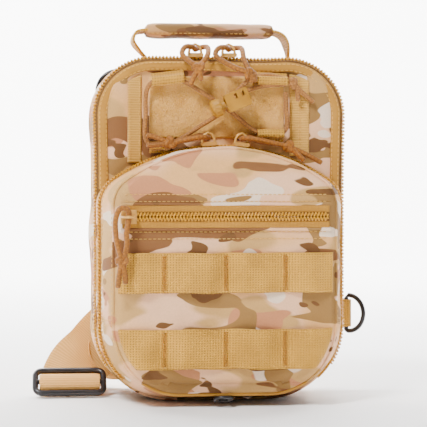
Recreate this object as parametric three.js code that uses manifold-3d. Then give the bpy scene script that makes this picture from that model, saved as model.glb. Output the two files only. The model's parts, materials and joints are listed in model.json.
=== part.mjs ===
// A compact one-shoulder sling bag: a zipped main compartment, a zipped front pocket with webbing
// rows, a flat zipped pocket on its face, a grab handle and a padded shoulder strap.
// Millimetres, +Z up. The bag stands on z = 0, its front faces -Y and its right side is +X.
import * as THREE from "three";
import { mergeVertices } from "three/addons/utils/BufferGeometryUtils.js";
import Module from "manifold-3d";

const wasm = await Module();
wasm.setup();

// ---------------------------------------------------------------- driving dimensions
const GAP = 0.3; // clearance between touching pieces
const FABRIC = 2.2; // padded fabric wall
const WEBBING = 25.4; // one-inch webbing
const WIDE_WEBBING = 40; // shoulder strap webbing
const WEB_THICK = 1.6;
const CORD_R = 1.75; // pull cord
const PULL_STEPS = 9;
const BUNGEE_R = 1.5;

const MAIN = { halfWidth: 81.5, bottom: 0, top: 225, topRadius: 38, bottomRadius: 50 };
const MAIN_FRONT = -8.3; // front edge of the main gusset
const MAIN_BACK = 43;
const COVER_FRONT = -12.7; // front face of the main compartment's cover
const ZIP_FLOOR = 24; // the main zipper ends this high above the base
const ZIP_WIDTH = 3.4;

const POCKET = {
  halfWidth: 81,
  bottom: 3,
  arcCentre: 36,
  arcRadius: 131,
  cornerRadius: 20,
  bottomRadius: 48,
};
const POCKET_BACK = COVER_FRONT - 0.3;
const POCKET_FRONT = -50;
const POCKET_FRONT_HALF = 70; // half width of the pocket's front panel
const POCKET_LIFT = 6; // the front panel's lower edge sits this much higher
const POCKET_DROP = 2; // and its upper edge this much lower
const POCKET_EDGE = 5; // rounding of the front edge
const POCKET_ROLL = { depth: 12, below: 28 }; // the front leans back towards its lower edge
const POCKET_HINGE_Z = 16; // below this the pocket's tray stays with the cover
// The metal-lined drain hole in the tray.
const EYELET = { inner: 3, outer: 6.5, centre: [-1, -42, 4.9], lean: THREE.MathUtils.degToRad(-24) };

const HANDLE_Y = 20; // middle of the handle
const HANDLE_FOOT_Z = 227.6;
const BACK_FACE = 48.3; // rear face of the back panel

// ---------------------------------------------------------------- materials
const finish = (color, roughness, metalness = 0) =>
  new THREE.MeshStandardMaterial({ color, roughness, metalness });
const CAMO = finish(0xdcbd94, 0.85);
const LINING = finish(0xb79a6e, 0.9);
const TAN_WEB = finish(0xcda56e, 0.9);
const LOOP_FABRIC = finish(0xd7ae82, 0.95);
const PARACORD = finish(0xd7a05f, 0.8);
const BUNGEE = finish(0xd9b596, 0.7);
const COIL = finish(0x9a7233, 0.45);
const MESH_FABRIC = finish(0xc2a57b, 0.95);
const TAN_PLASTIC = finish(0xc9a980, 0.5);
const SLIDER_METAL = finish(0xb98d55, 0.4, 0.5);
const BLACK_METAL = finish(0x1d1c1b, 0.35, 0.8);

// ---------------------------------------------------------------- solids and booleans
function solid(geometry) {
  const bare = geometry.clone();
  bare.deleteAttribute("normal");
  bare.deleteAttribute("uv");
  const merged = mergeVertices(bare, 1e-4);
  return new wasm.Manifold(
    new wasm.Mesh({
      numProp: 3,
      vertProperties: merged.attributes.position.array,
      triVerts: new Uint32Array(merged.index.array),
    }),
  );
}

function geometryOf(manifold) {
  const mesh = manifold.getMesh();
  return new THREE.BufferGeometry()
    .setAttribute("position", new THREE.BufferAttribute(mesh.vertProperties, 3))
    .setIndex(new THREE.BufferAttribute(mesh.triVerts, 1));
}

// A box between two corners.
function block(low, high) {
  const size = high.map((v, i) => v - low[i]);
  const centre = high.map((v, i) => (v + low[i]) / 2);
  return new THREE.BoxGeometry(...size).translate(...centre);
}

const FAR = 400;
const keepAbove = (body, z) => body.intersect(solid(block([-FAR, -FAR, z], [FAR, FAR, FAR])));
const keepBelow = (body, z) => body.intersect(solid(block([-FAR, -FAR, -FAR], [FAR, FAR, z])));
const sliceY = (body, from, to) => body.intersect(solid(block([-FAR, from, -FAR], [FAR, to, FAR])));

// ---------------------------------------------------------------- outlines in the XZ plane
// Rounded rectangle, drawn anticlockwise, moved in by inset.
function roundedOutline({ halfWidth, bottom, top, topRadius, bottomRadius }, inset = 0) {
  const hw = halfWidth - inset;
  const low = bottom + inset;
  const high = top - inset;
  const rt = Math.max(topRadius - inset, 0.5);
  const rb = Math.max(bottomRadius - inset, 0.5);
  const shape = new THREE.Shape();
  shape.moveTo(-hw + rb, low);
  shape.lineTo(hw - rb, low);
  shape.absarc(hw - rb, low + rb, rb, -Math.PI / 2, 0);
  shape.absarc(hw - rt, high - rt, rt, 0, Math.PI / 2);
  shape.absarc(-hw + rt, high - rt, rt, Math.PI / 2, Math.PI);
  shape.absarc(-hw + rb, low + rb, rb, Math.PI, 1.5 * Math.PI);
  return shape;
}

// The pocket's outline: straight sides under one wide arc.
function pocketOutline(inset = 0) {
  const hw = POCKET.halfWidth - inset;
  const low = POCKET.bottom + inset;
  const radius = POCKET.arcRadius - inset;
  const rc = POCKET.cornerRadius - inset;
  const rb = POCKET.bottomRadius - inset;
  const cornerX = hw - rc;
  const cornerRise = Math.sqrt((radius - rc) ** 2 - cornerX ** 2);
  const turn = Math.atan2(cornerRise, cornerX);
  const shape = new THREE.Shape();
  shape.moveTo(-hw + rb, low);
  shape.lineTo(hw - rb, low);
  shape.absarc(hw - rb, low + rb, rb, -Math.PI / 2, 0);
  shape.absarc(cornerX, POCKET.arcCentre + cornerRise, rc, 0, turn);
  shape.absarc(0, POCKET.arcCentre, radius, turn, Math.PI - turn);
  shape.absarc(-cornerX, POCKET.arcCentre + cornerRise, rc, Math.PI - turn, Math.PI);
  shape.absarc(-hw + rb, low + rb, rb, Math.PI, 1.5 * Math.PI);
  return shape;
}

// An XZ outline given thickness from yFront back to yRear.
function slab(shape, yFront, yRear, curveSegments = 6) {
  return new THREE.ExtrudeGeometry(shape, { depth: yRear - yFront, bevelEnabled: false, curveSegments })
    .rotateX(Math.PI / 2)
    .translate(0, yRear, 0);
}

// A closed band between two insets of one outline.
function band(outline, outerInset, innerInset, yFront, yRear) {
  const shape = outline(outerInset);
  shape.holes.push(outline(innerInset));
  return solid(slab(shape, yFront, yRear));
}

const mainOutline = (inset) => roundedOutline(MAIN, inset);

function roundedBox(x0, x1, z0, z1, yFront, yRear, radius, curveSegments = 3) {
  const outline = { halfWidth: (x1 - x0) / 2, bottom: z0, top: z1, topRadius: radius, bottomRadius: radius };
  return slab(roundedOutline(outline), yFront, yRear, curveSegments).translate((x0 + x1) / 2, 0, 0);
}

// ---------------------------------------------------------------- ribbons, tubes and rings
const vec = (p) => new THREE.Vector3(...p);

// Flat webbing along a route. Each route entry is a centre point and the direction of its width.
function ribbon(route, width, thickness, steps) {
  const path = new THREE.CatmullRomCurve3(route.map((r) => vec(r[0])));
  const across = new THREE.CatmullRomCurve3(route.map((r) => vec(r[1])));
  const geometry = new THREE.BoxGeometry(1, 1, 1, steps, 1, 1);
  const position = geometry.attributes.position;
  for (let i = 0; i < position.count; i++) {
    const t = position.getX(i) + 0.5;
    const tangent = path.getTangent(t);
    const side = across.getPoint(t);
    side.addScaledVector(tangent, -side.dot(tangent)).normalize();
    const normal = tangent.clone().cross(side);
    const point = path.getPoint(t);
    point.addScaledVector(side, position.getY(i) * width);
    point.addScaledVector(normal, position.getZ(i) * thickness);
    position.setXYZ(i, point.x, point.y, point.z);
  }
  return geometry;
}

// A round cord along a smooth route.
function cord(points, radius, steps) {
  const section = new THREE.Shape();
  section.absarc(0, 0, radius, 0, 2 * Math.PI);
  return new THREE.ExtrudeGeometry(section, {
    extrudePath: new THREE.CatmullRomCurve3(points.map(vec)),
    steps,
    curveSegments: 4,
    bevelEnabled: false,
  });
}

// A round ring turned about Z: inner and outer radius, from z0 to z1.
function turnedRing(inner, outer, z0, z1, segments = 20) {
  const profile = [
    new THREE.Vector2(inner, z0),
    new THREE.Vector2(outer, z0),
    new THREE.Vector2(outer, z1),
    new THREE.Vector2(inner, z1),
    new THREE.Vector2(inner, z0),
  ];
  return new THREE.LatheGeometry(profile, segments).rotateX(Math.PI / 2);
}

// ---------------------------------------------------------------- the assembly
const bag = new THREE.Group();

function add(name, geometry, material, parent = bag) {
  const mesh = new THREE.Mesh(geometry, material);
  mesh.name = name;
  parent.add(mesh);
  return mesh;
}

// Main compartment: gusset, back panel, inner sleeve and the rear half of the zipper.
function mainCompartment() {
  add("main_gusset", geometryOf(band(mainOutline, 0, FABRIC, MAIN_FRONT, MAIN_BACK)), CAMO);
  add("back_panel", slab(mainOutline(0), MAIN_BACK + GAP, BACK_FACE), CAMO);
  const rearZip = band(mainOutline, 0.2, 0.2 + ZIP_WIDTH, MAIN_FRONT - 2.2, MAIN_FRONT - GAP);
  add("main_zip_rear", geometryOf(keepAbove(rearZip, ZIP_FLOOR)), COIL);
  const sleeve = keepBelow(solid(slab(mainOutline(FABRIC + 0.8), 37.5, 39.3)), 138);
  add("inner_sleeve", geometryOf(sleeve), LINING);
  add("sleeve_binding", roundedBox(-70, 70, 138.4, 143.4, 36.6, 40.2, 2), TAN_WEB);
  add("back_pad_upper", roundedBox(-50, 50, 118, 190, BACK_FACE + GAP, 54, 18), MESH_FABRIC);
  add("back_pad_lower", roundedBox(-50, 50, 34, 110, BACK_FACE + GAP, 54, 18), MESH_FABRIC);
}

// The front cover of the main compartment, with its half of the zipper and the bound edge.
function mainCover() {
  add("cover_panel", slab(mainOutline(3.9), COVER_FRONT, COVER_FRONT + 2.4), CAMO);
  const frontZip = band(mainOutline, 0.2, 0.2 + ZIP_WIDTH, COVER_FRONT, COVER_FRONT + 1.9);
  add("main_zip_front", geometryOf(keepAbove(frontZip, ZIP_FLOOR)), COIL);
  const edge = band(mainOutline, 4.2, 9.8, COVER_FRONT - 2.6, COVER_FRONT - GAP);
  const pocketRoom = solid(slab(pocketOutline(-0.4), COVER_FRONT - 6, COVER_FRONT));
  add("cover_binding", geometryOf(edge.subtract(pocketRoom)), TAN_WEB);
}

// What is sewn on the cover above the pocket.
const TRIM_BACK = COVER_FRONT - GAP;
const TRIM_FRONT = TRIM_BACK - 1.3;
const TAB_FRONT = TRIM_FRONT - GAP - 2.4;
const TABS = [
  ["tab_upper_left", -45, -24, 206, 214.8],
  ["tab_upper_right", 24, 44, 206.5, 214.5],
  ["tab_lower_left", -46.5, -33, 163.8, 170],
  ["tab_lower_right", 24, 41.5, 171, 179],
];

function coverTrim() {
  add("loop_panel", roundedBox(-46.5, 42.5, 172, 213, TRIM_FRONT, TRIM_BACK, 2), LOOP_FABRIC);
  const insideBinding = solid(slab(mainOutline(10.2), TRIM_FRONT - 1, TRIM_BACK + 1));
  for (const [name, x0, x1, z0] of [["strip_left", -60.5, -51, 156.5], ["strip_right", 46, 59, 161]]) {
    const strip = solid(block([x0, TRIM_FRONT, z0], [x1, TRIM_BACK, MAIN.top])).intersect(insideBinding);
    add(name, geometryOf(strip), TAN_WEB);
  }
  for (const [name, x0, x1, z0, z1] of TABS)
    add(name, block([x0, TAB_FRONT, z0], [x1, TRIM_FRONT - GAP, z1]), TAN_WEB);
}

// Elastic cord laced from tab to tab, crossing under the cord lock.
const BUNGEE_Y = TAB_FRONT - GAP - BUNGEE_R;
const BUNGEE_ROUTE = [
  [-1, BUNGEE_Y, 187.6], [-12, BUNGEE_Y, 181], [-26, BUNGEE_Y, 172], [-35, BUNGEE_Y, 167.5],
  [-44, BUNGEE_Y, 167], [-48.6, BUNGEE_Y, 171], [-49, BUNGEE_Y, 188], [-48, BUNGEE_Y, 204],
  [-43, BUNGEE_Y, 209.5], [-26, BUNGEE_Y, 209.5], [-12, BUNGEE_Y, 202], [6, BUNGEE_Y, 190],
  [22, BUNGEE_Y, 177.5], [30, BUNGEE_Y, 174.8], [38.5, BUNGEE_Y, 174.8], [43, BUNGEE_Y, 179],
  [43.2, BUNGEE_Y, 190], [42.4, BUNGEE_Y, 202.5],
];
// The two free ends run from the lock to one knot, and end in short tails.
const BUNGEE_KNOT = [47.5, BUNGEE_Y - 0.4, 208.5];
const BUNGEE_END_UPPER = [
  [9, BUNGEE_Y, 200.5], [13, BUNGEE_Y, 205.5], [21, BUNGEE_Y, 211.5], [31, BUNGEE_Y, 213.5],
  [40, BUNGEE_Y, 211.5], BUNGEE_KNOT, [53, BUNGEE_Y, 203], [61, BUNGEE_Y, 196],
];
const BUNGEE_END_LOWER = [
  [15, BUNGEE_Y, 202.6], [22, BUNGEE_Y, 205], [31, BUNGEE_Y, 206.8], [40, BUNGEE_Y, 207.4],
  BUNGEE_KNOT, [50, BUNGEE_Y, 204], [51, BUNGEE_Y, 197],
];

function knot(centre, radius, stretch = [1, 1, 1]) {
  return solid(new THREE.SphereGeometry(radius, 8, 6).scale(...stretch).translate(...centre));
}

function bungeeCord() {
  add("bungee", cord(BUNGEE_ROUTE, BUNGEE_R, 40), BUNGEE);
  const ends = solid(cord(BUNGEE_END_UPPER, BUNGEE_R, 12))
    .add(solid(cord(BUNGEE_END_LOWER, BUNGEE_R, 9)))
    .add(knot(BUNGEE_KNOT, 3, [0.9, 0.8, 1.3]));
  add("bungee_ends", geometryOf(ends), BUNGEE);
}

// Spring cord lock: a slotted body and a round button that presses into it.
const LOCK_TILT = THREE.MathUtils.degToRad(-22);
const LOCK_CENTRE = [10, -26.4, 197];
const LOCK_HALF = { length: 8, height: 6, depth: 4 };
const BUTTON_BORE = 3.3;

function cordLock() {
  const frame = new THREE.Group();
  frame.position.set(...LOCK_CENTRE);
  frame.rotation.y = LOCK_TILT;
  bag.add(frame);
  const { length, height, depth } = LOCK_HALF;
  const bore = new THREE.CylinderGeometry(BUTTON_BORE, BUTTON_BORE, 12, 20).rotateZ(Math.PI / 2);
  const slots = [-0.8, 4.2].map((x) => solid(block([x - 1.1, -9, 1.2], [x + 1.1, 9, 4.4])));
  let body = solid(roundedBox(-length, length, -height, height, -depth, depth, 1.8));
  body = body.subtract(solid(bore.translate(-length, 0, 0)));
  for (const slot of slots) body = body.subtract(slot);
  add("cord_lock_body", geometryOf(body), TAN_PLASTIC, frame);
  const stem = new THREE.CylinderGeometry(BUTTON_BORE - 0.3, BUTTON_BORE - 0.3, 6, 20).rotateZ(Math.PI / 2);
  const cap = new THREE.LatheGeometry(
    [[0, 0], [5, 0], [5.6, 1], [5.6, 4.5], [4.4, 6.6], [0, 7.2]].map((p) => new THREE.Vector2(...p)),
    20,
  ).rotateZ(Math.PI / 2);
  const button = solid(stem.translate(-length - 2.5, 0, 0)).add(solid(cap.translate(-length - 3.4, 0, 0)));
  add("cord_lock_button", geometryOf(button), TAN_PLASTIC, frame);
}

// ---------------------------------------------------------------- front pocket
const POCKET_LEVELS = [0, 0.45, 0.86, 0.93, 0.98, 1]; // stations from back to front
const POCKET_MIDDLE_Z = 86;

// A tapered block between the pocket's rear outline and its smaller front, with a rounded edge.
function pocketLoft(inset, yFront) {
  const depth = POCKET_BACK - POCKET_FRONT;
  const steps = POCKET_LEVELS.length - 1;
  const geometry = new THREE.ExtrudeGeometry(pocketOutline(inset), {
    depth: 1,
    steps,
    bevelEnabled: false,
    curveSegments: 4,
  });
  const reach = (POCKET_BACK - yFront) / depth;
  const height = POCKET.arcCentre + POCKET.arcRadius - POCKET.bottom;
  const p = geometry.attributes.position;
  for (let i = 0; i < p.count; i++) {
    const t = POCKET_LEVELS[Math.round(p.getZ(i) * steps)] * reach;
    const intoEdge = Math.max(0, POCKET_EDGE - depth * (1 - t));
    const shrink = POCKET_EDGE - Math.sqrt(POCKET_EDGE ** 2 - intoEdge ** 2);
    const narrow = 1 - t * (1 - POCKET_FRONT_HALF / POCKET.halfWidth);
    const rise = (p.getY(i) - POCKET.bottom) / height;
    const z = p.getY(i) + t * THREE.MathUtils.lerp(POCKET_LIFT, -POCKET_DROP, rise);
    const low = Math.max(0, 1 - z / POCKET_ROLL.below);
    p.setXYZ(
      i,
      p.getX(i) * narrow * (1 - shrink / POCKET_FRONT_HALF),
      POCKET_BACK - t * (depth - POCKET_ROLL.depth * low ** 2),
      POCKET_MIDDLE_Z + (z - POCKET_MIDDLE_Z) * (1 - shrink / POCKET_MIDDLE_Z),
    );
  }
  return solid(geometry);
}

// The pocket is one tapered shell, cut into the pieces it is sewn from.
const POCKET_CUTS = { rearBand: -17, rearZip: -20.3, frontZip: -23.6, gusset: -47 };

function frontPocket() {
  const hollow = pocketLoft(FABRIC, POCKET_FRONT + 2.3);
  const mouth = solid(slab(pocketOutline(FABRIC), POCKET_BACK - 0.01, POCKET_BACK + 2));
  const shell = pocketLoft(0, POCKET_FRONT).subtract(hollow).subtract(mouth);
  const upper = keepAbove(shell, POCKET_HINGE_Z);
  const { rearBand, rearZip, frontZip, gusset } = POCKET_CUTS;
  const drain = new THREE.CylinderGeometry(EYELET.inner, EYELET.inner, 16, 16)
    .rotateX(Math.PI / 2 + EYELET.lean)
    .translate(...EYELET.centre);
  const tray = keepBelow(shell, POCKET_HINGE_Z - 0.4).subtract(solid(drain));
  add("pocket_tray", geometryOf(tray), CAMO);
  add("pocket_rear_band", geometryOf(sliceY(upper, rearBand, POCKET_BACK + 1)), CAMO);
  add("pocket_zip_rear", geometryOf(sliceY(upper, rearZip, rearBand - GAP)), COIL);
  add("pocket_zip_front", geometryOf(sliceY(upper, frontZip, rearZip - GAP)), COIL);
  add("pocket_gusset", geometryOf(sliceY(upper, gusset, frontZip - GAP)), CAMO);
  add("pocket_front_panel", geometryOf(sliceY(upper, POCKET_FRONT - 1, gusset - GAP)), CAMO);
  add("pocket_divider", roundedBox(-62, 62, 20, 112, -15.2, -13.6, 8), LINING);
}

// Flat zipped pocket and the two webbing rows on the pocket's face.
const FACE = POCKET_FRONT - GAP;
const FLAT_ZIP_Z = 122;
const FLAT_ZIP_HALF = 66;
const TAPE_WIDE = 6.8;
const TAPE_THICK = 1.3;
const ROW_HALF = 67; // half the length of a webbing row
const ROW_THICK = 2;

function pocketFace() {
  for (const [name, z0, z1] of [["flat_zip_upper", 0.2, TAPE_WIDE], ["flat_zip_lower", -TAPE_WIDE, -0.2]]) {
    const low = [-FLAT_ZIP_HALF, FACE - TAPE_THICK, FLAT_ZIP_Z + z0];
    const high = [FLAT_ZIP_HALF, FACE, FLAT_ZIP_Z + z1];
    add(name, block(low, high), COIL);
  }
  const rows = [
    ["web_row_lower", 25.4],
    ["web_row_upper", 73.7],
  ];
  const faceSlab = slab(pocketOutline(0), FACE - ROW_THICK, FACE)
    .scale(ROW_HALF / POCKET.halfWidth, 1, 1)
    .translate(0, 0, POCKET_LIFT);
  const faceOutline = solid(faceSlab);
  for (const [name, z] of rows) {
    const row = solid(block([-ROW_HALF, FACE - FAR, z], [ROW_HALF, FAR, z + WEBBING]));
    add(name, geometryOf(row.intersect(faceOutline)), TAN_WEB);
  }
  const eyelet = add("drain_grommet", turnedRing(EYELET.inner, EYELET.outer, -0.7, 0.7), BLACK_METAL);
  eyelet.position.set(...EYELET.centre);
  eyelet.rotation.x = EYELET.lean;
}

// ---------------------------------------------------------------- zipper sliders and pulls
const BAIL = { half: 4.2, height: 6.6, wire: 0.9, steps: 6 };

// A slider lying flat: its zipper runs along X, its outer face is up and its bail stands on top.
function sliderSolid() {
  const plate = solid(roundedBox(-5.2, 5.2, 0, 2.6, -4.4, 4.4, 1, 1));
  const arc = [];
  for (let i = 0; i <= BAIL.steps; i++) {
    const a = Math.PI * (i / BAIL.steps);
    arc.push([Math.cos(a) * BAIL.half, 0, 2 + Math.sin(a) * BAIL.height]);
  }
  return plate.add(solid(cord(arc, BAIL.wire, BAIL.steps)));
}

// Two legs of one cord leave the bail on either side, meet in a knot and end in tails.
function pullSolid(legA, legB, knotAt) {
  return solid(cord(legA, CORD_R, PULL_STEPS))
    .add(solid(cord(legB, CORD_R, PULL_STEPS)))
    .add(knot(knotAt, 4.2, [1, 0.85, 1]));
}

const PULLS = {
  main_pull_left: {
    knot: [-15, -25, 217.5],
    legA: [[-16, -11, 230.5], [-18, -14.6, 231.8], [-23, -17.6, 231.6], [-25.4, -20.8, 227],
      [-20.5, -23.8, 221.5], [-15, -25, 217.5], [-14, -25.5, 213], [-13.5, -26, 209.5]],
    legB: [[-16, -11, 230.5], [-14.4, -7.4, 231.4], [-10, -7.8, 232.4], [-8, -12.8, 231.6],
      [-8.6, -19.6, 226.5], [-15, -25, 217.5], [-18, -24.6, 212], [-20.5, -24, 206.5]],
  },
  main_pull_right: {
    knot: [18.5, -25, 213.8],
    legA: [[6, -11, 230.5], [4, -14.6, 231.6], [-1, -17.6, 231], [-3.6, -20.6, 226.5],
      [5.5, -23.8, 219.5], [18.5, -25, 213.8], [21, -25.6, 211], [21.5, -26.4, 209]],
    legB: [[6, -11, 230.5], [7.6, -7.4, 231.4], [12, -7.8, 232], [14.4, -12.8, 231],
      [15, -19.6, 224.5], [18.5, -25, 213.8], [19.5, -24.8, 210.4], [18.5, -24.6, 208.2]],
  },
  pocket_pull_left: {
    knot: [-33.5, -25, 169],
    legA: [[-8.3, -20.5, 172.3], [-9.5, -24, 172.8], [-14.5, -26, 172.6], [-24, -26, 171],
      [-33.5, -25, 169], [-39, -24.8, 171], [-44, -24.2, 173.2], [-48.5, -23.8, 174]],
    legB: [[-8.3, -20.5, 172.3], [-9.4, -17.2, 173.2], [-13.5, -17, 174], [-19, -20, 172.6],
      [-33.5, -25, 169], [-39, -25.4, 168.2], [-44, -25, 167.8], [-48.5, -24.6, 167.4]],
  },
  pocket_pull_right: {
    knot: [44, -25, 166.6],
    legA: [[13.5, -20.5, 171.9], [14.8, -24, 172.3], [20, -26, 171.8], [32, -26, 169.4],
      [44, -25, 166.6], [51, -24.8, 163.8], [58.5, -24.6, 160.2], [65.5, -24.4, 156.4]],
    legB: [[13.5, -20.5, 171.9], [14.6, -17.2, 172.8], [18.4, -17, 173.2], [24, -20.4, 170.6],
      [44, -25, 166.6], [48.5, -26, 162.6], [51.5, -26.6, 159.8], [53.5, -27, 157.6]],
  },
  flat_pull: {
    knot: [-66.5, -59.6, 94],
    legA: [[-62, -57.2, 122], [-62.6, -57.6, 117.6], [-63.6, -58.8, 112], [-63.4, -59.6, 105],
      [-64.4, -59.6, 99.5], [-66.5, -59.6, 94], [-68.2, -59.6, 86], [-69.2, -59.6, 78]],
    legB: [[-62, -57.2, 122], [-62.6, -57.8, 126.2], [-67.4, -59.2, 127.4], [-70.4, -60, 121],
      [-70, -60, 108], [-66.5, -59.6, 94], [-64.8, -59.6, 86.5], [-64.4, -59.6, 80.5]],
  },
};

// Where each slider sits: position, turn about the zipper, turn along the arc.
const POCKET_SLIDER_R = POCKET.arcRadius + 0.5;

function slidersAndPulls() {
  for (const [name, x] of [["main_slider_left", -16], ["main_slider_right", 6]]) {
    const slider = add(name, geometryOf(sliderSolid()), SLIDER_METAL);
    slider.position.set(x, -11, MAIN.top + 0.4);
  }
  for (const [name, x] of [["pocket_slider_left", -8], ["pocket_slider_right", 13]]) {
    const slider = add(name, geometryOf(sliderSolid()), SLIDER_METAL);
    const turn = Math.asin(x / POCKET_SLIDER_R);
    slider.position.set(x, -20.5, POCKET.arcCentre + POCKET_SLIDER_R * Math.cos(turn));
    slider.rotation.y = turn;
  }
  const flat = add("flat_slider", geometryOf(sliderSolid()), SLIDER_METAL);
  flat.rotation.x = Math.PI / 2;
  flat.position.set(-62, FACE - TAPE_THICK - 0.5, FLAT_ZIP_Z);
  for (const [name, pull] of Object.entries(PULLS))
    add(name, geometryOf(pullSolid(pull.legA, pull.legB, pull.knot)), PARACORD);
}

// ---------------------------------------------------------------- grab handle
const HANDLE_LINE = [
  [-46, HANDLE_FOOT_Z], [-51, 232], [-55, 238], [-53, 243.5], [-46, 245], [-20, 246], [12, 246],
  [40, 244.5], [46, 241.5], [49, 235], [50, HANDLE_FOOT_Z],
];
const HANDLE_FOLD = 12.7; // half the webbing's width, where the end tapers to its fold
const HANDLE_TIP = 1.5; // half the folded end's width
const HANDLE_TAPER = 9.7; // how far up the fold opens out

// An XZ strip of even thickness along the handle's line.
function handleStrip(thickness, depth, trim = 0) {
  const curve = new THREE.SplineCurve(HANDLE_LINE.map((p) => new THREE.Vector2(...p)));
  const outer = [];
  const inner = [];
  const steps = 28;
  for (let i = 0; i <= steps; i++) {
    const t = trim + ((1 - 2 * trim) * i) / steps;
    const point = curve.getPoint(t);
    const along = curve.getTangent(t);
    const normal = new THREE.Vector2(-along.y, along.x).multiplyScalar(thickness / 2);
    outer.push(point.clone().add(normal));
    inner.push(point.clone().sub(normal));
  }
  const shape = new THREE.Shape([...inner, ...outer.reverse()]);
  return slab(shape, HANDLE_Y - depth / 2, HANDLE_Y + depth / 2, 1);
}

function grabHandle() {
  const endTaper = new THREE.Shape(
    [
      [-HANDLE_TIP, HANDLE_FOOT_Z], [HANDLE_TIP, HANDLE_FOOT_Z], [HANDLE_FOLD, HANDLE_FOOT_Z + HANDLE_TAPER],
      [HANDLE_FOLD, FAR], [-HANDLE_FOLD, FAR], [-HANDLE_FOLD, HANDLE_FOOT_Z + HANDLE_TAPER],
    ].map((p) => new THREE.Vector2(...p)),
  );
  const keep = new THREE.ExtrudeGeometry(endTaper, { depth: 200, bevelEnabled: false })
    .translate(0, 0, -100)
    .rotateX(Math.PI / 2)
    .rotateZ(Math.PI / 2)
    .translate(0, HANDLE_Y, 0);
  const strip = solid(handleStrip(2, WEBBING)).intersect(solid(keep));
  add("handle_webbing", geometryOf(strip), TAN_WEB);
  const sleeve = solid(roundedBox(-47, 39, 240.2, 250, HANDLE_Y - 15, HANDLE_Y + 15, 4.5));
  const channel = solid(handleStrip(2 + 2 * GAP, WEBBING + 2 * GAP));
  add("handle_grip", geometryOf(sleeve.subtract(channel)), CAMO);
  for (const [name, x] of [["handle_foot_left", -43.5], ["handle_foot_right", 46]]) {
    const foot = block([x - 4, HANDLE_Y - 12.7, MAIN.top + GAP], [x + 4, HANDLE_Y + 12.7, MAIN.top + 1.5]);
    add(name, foot, TAN_WEB);
  }
}

// ---------------------------------------------------------------- shoulder strap
const BUCKLE_CENTRE = [-97.5, 20, 10.2];
const BUCKLE_LEAN = THREE.MathUtils.degToRad(45);
const BUCKLE_OUTER = { half: 25.5, height: 12 };
const BUCKLE_SLOT = { half: 21, near: 1.75, far: 8.5 };

// A point in the buckle's plane: up its face by u and out of its front by n.
function onBuckle(x, u, n) {
  const s = Math.sin(BUCKLE_LEAN);
  const c = Math.cos(BUCKLE_LEAN);
  return [BUCKLE_CENTRE[0] + x, BUCKLE_CENTRE[1] + u * s - n * c, BUCKLE_CENTRE[2] + u * c + n * s];
}

const PAD_ROUTE = [
  [[10, 60, 209], [1, 0, 0.05]],
  [[17, 61, 190], [0.96, 0, 0.25]],
  [[42, 61.5, 156], [0.9, 0, 0.42]],
  [[58, 61.5, 120], [1, 0, 0.15]],
  [[60, 61.5, 88], [1, 0, -0.12]],
  [[52, 61, 58], [0.93, 0, -0.38]],
];
const STRAP_ROUTE = [
  [[-60, 50, 48], [0.1, 0, -1]],
  [[-72, 50.2, 48], [0.15, 0, -1]],
  [[-83, 50, 45], [0.45, 0.1, -0.9]],
  [[-89, 46.5, 37], [0.75, 0.25, -0.58]],
  [[-97.5, 39.5, 20], [1, 0, -0.15]],
  [onBuckle(0, 6, -4), [1, 0, 0]],
  [onBuckle(0, 5, 0), [1, 0, 0]],
  [onBuckle(0, 2.6, 3.4), [1, 0, 0]],
  [onBuckle(0, -2.6, 3.4), [1, 0, 0]],
  [onBuckle(0, -5, 0), [1, 0, 0]],
  [onBuckle(0, -5.2, -4), [1, 0, 0]],
  [[-97, 34, 3], [1, 0, 0]],
  [[-95, 46, 5.5], [1, 0, 0.1]],
  [[-88, 57, 14], [0.55, -0.65, 0.5]],
  [[-74, 62, 23], [0.1, -0.35, 0.93]],
  [[-50, 63.5, 27], [0, 0, 1]],
  [[0, 64.5, 33], [-0.1, 0, 1]],
  [[32, 67.4, 48], [-0.3, 0, 1]],
  [[50, 67.4, 62], [-0.45, 0, 0.9]],
];

function shoulderStrap() {
  add("shoulder_pad", ribbon(PAD_ROUTE, 60, 9, 16), MESH_FABRIC);
  add("strap_webbing", ribbon(STRAP_ROUTE, WIDE_WEBBING, WEB_THICK, 72), TAN_WEB);
  add("strap_anchor_top", roundedBox(-12, 30, 194, 214, BACK_FACE + GAP, 55, 3), TAN_WEB);
  add("strap_anchor_lower", roundedBox(-68, -53, 27, 69, 51.6, 53.6, 2), TAN_WEB);
  const { half, height } = BUCKLE_OUTER;
  const outline = { halfWidth: half, bottom: -height, top: height, topRadius: 3, bottomRadius: 3 };
  const shape = roundedOutline(outline);
  for (const side of [1, -1]) {
    const { half: slotHalf, near, far } = BUCKLE_SLOT;
    const [bottom, top] = side > 0 ? [near, far] : [-far, -near];
    shape.holes.push(roundedOutline({ halfWidth: slotHalf, bottom, top, topRadius: 1, bottomRadius: 1 }));
  }
  const buckle = add("tri_glide", slab(shape, -1.7, 1.7, 4), BLACK_METAL);
  buckle.position.set(...BUCKLE_CENTRE);
  buckle.rotation.x = -BUCKLE_LEAN;
}

// ---------------------------------------------------------------- ring tabs
const RING_WIRE = 1.6;
const RING_HALF = 12.6; // half the straight bar, to the wire's centre
const RING_DEPTH = 13;
const EYE_INNER = 2.1;
const EYE_OUTER = 3.6;
const TAB_WIDTH = 19;

// A D-shaped ring in the local XZ plane, its straight bar on the Z axis.
function dRing() {
  const points = [];
  const bow = 8;
  for (let i = 0; i <= bow; i++) {
    const a = Math.PI * (0.5 - i / bow);
    points.push(new THREE.Vector3(1.6 + (RING_DEPTH - 1.6) * Math.cos(a), 0, RING_HALF * Math.sin(a)));
  }
  for (const z of [-0.9, -0.75, -0.35, 0.35, 0.75, 0.9]) points.push(new THREE.Vector3(0, 0, RING_HALF * z));
  const path = new THREE.CatmullRomCurve3(points, true, "centripetal");
  return new THREE.TubeGeometry(path, 26, RING_WIRE, 8, true);
}

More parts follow.
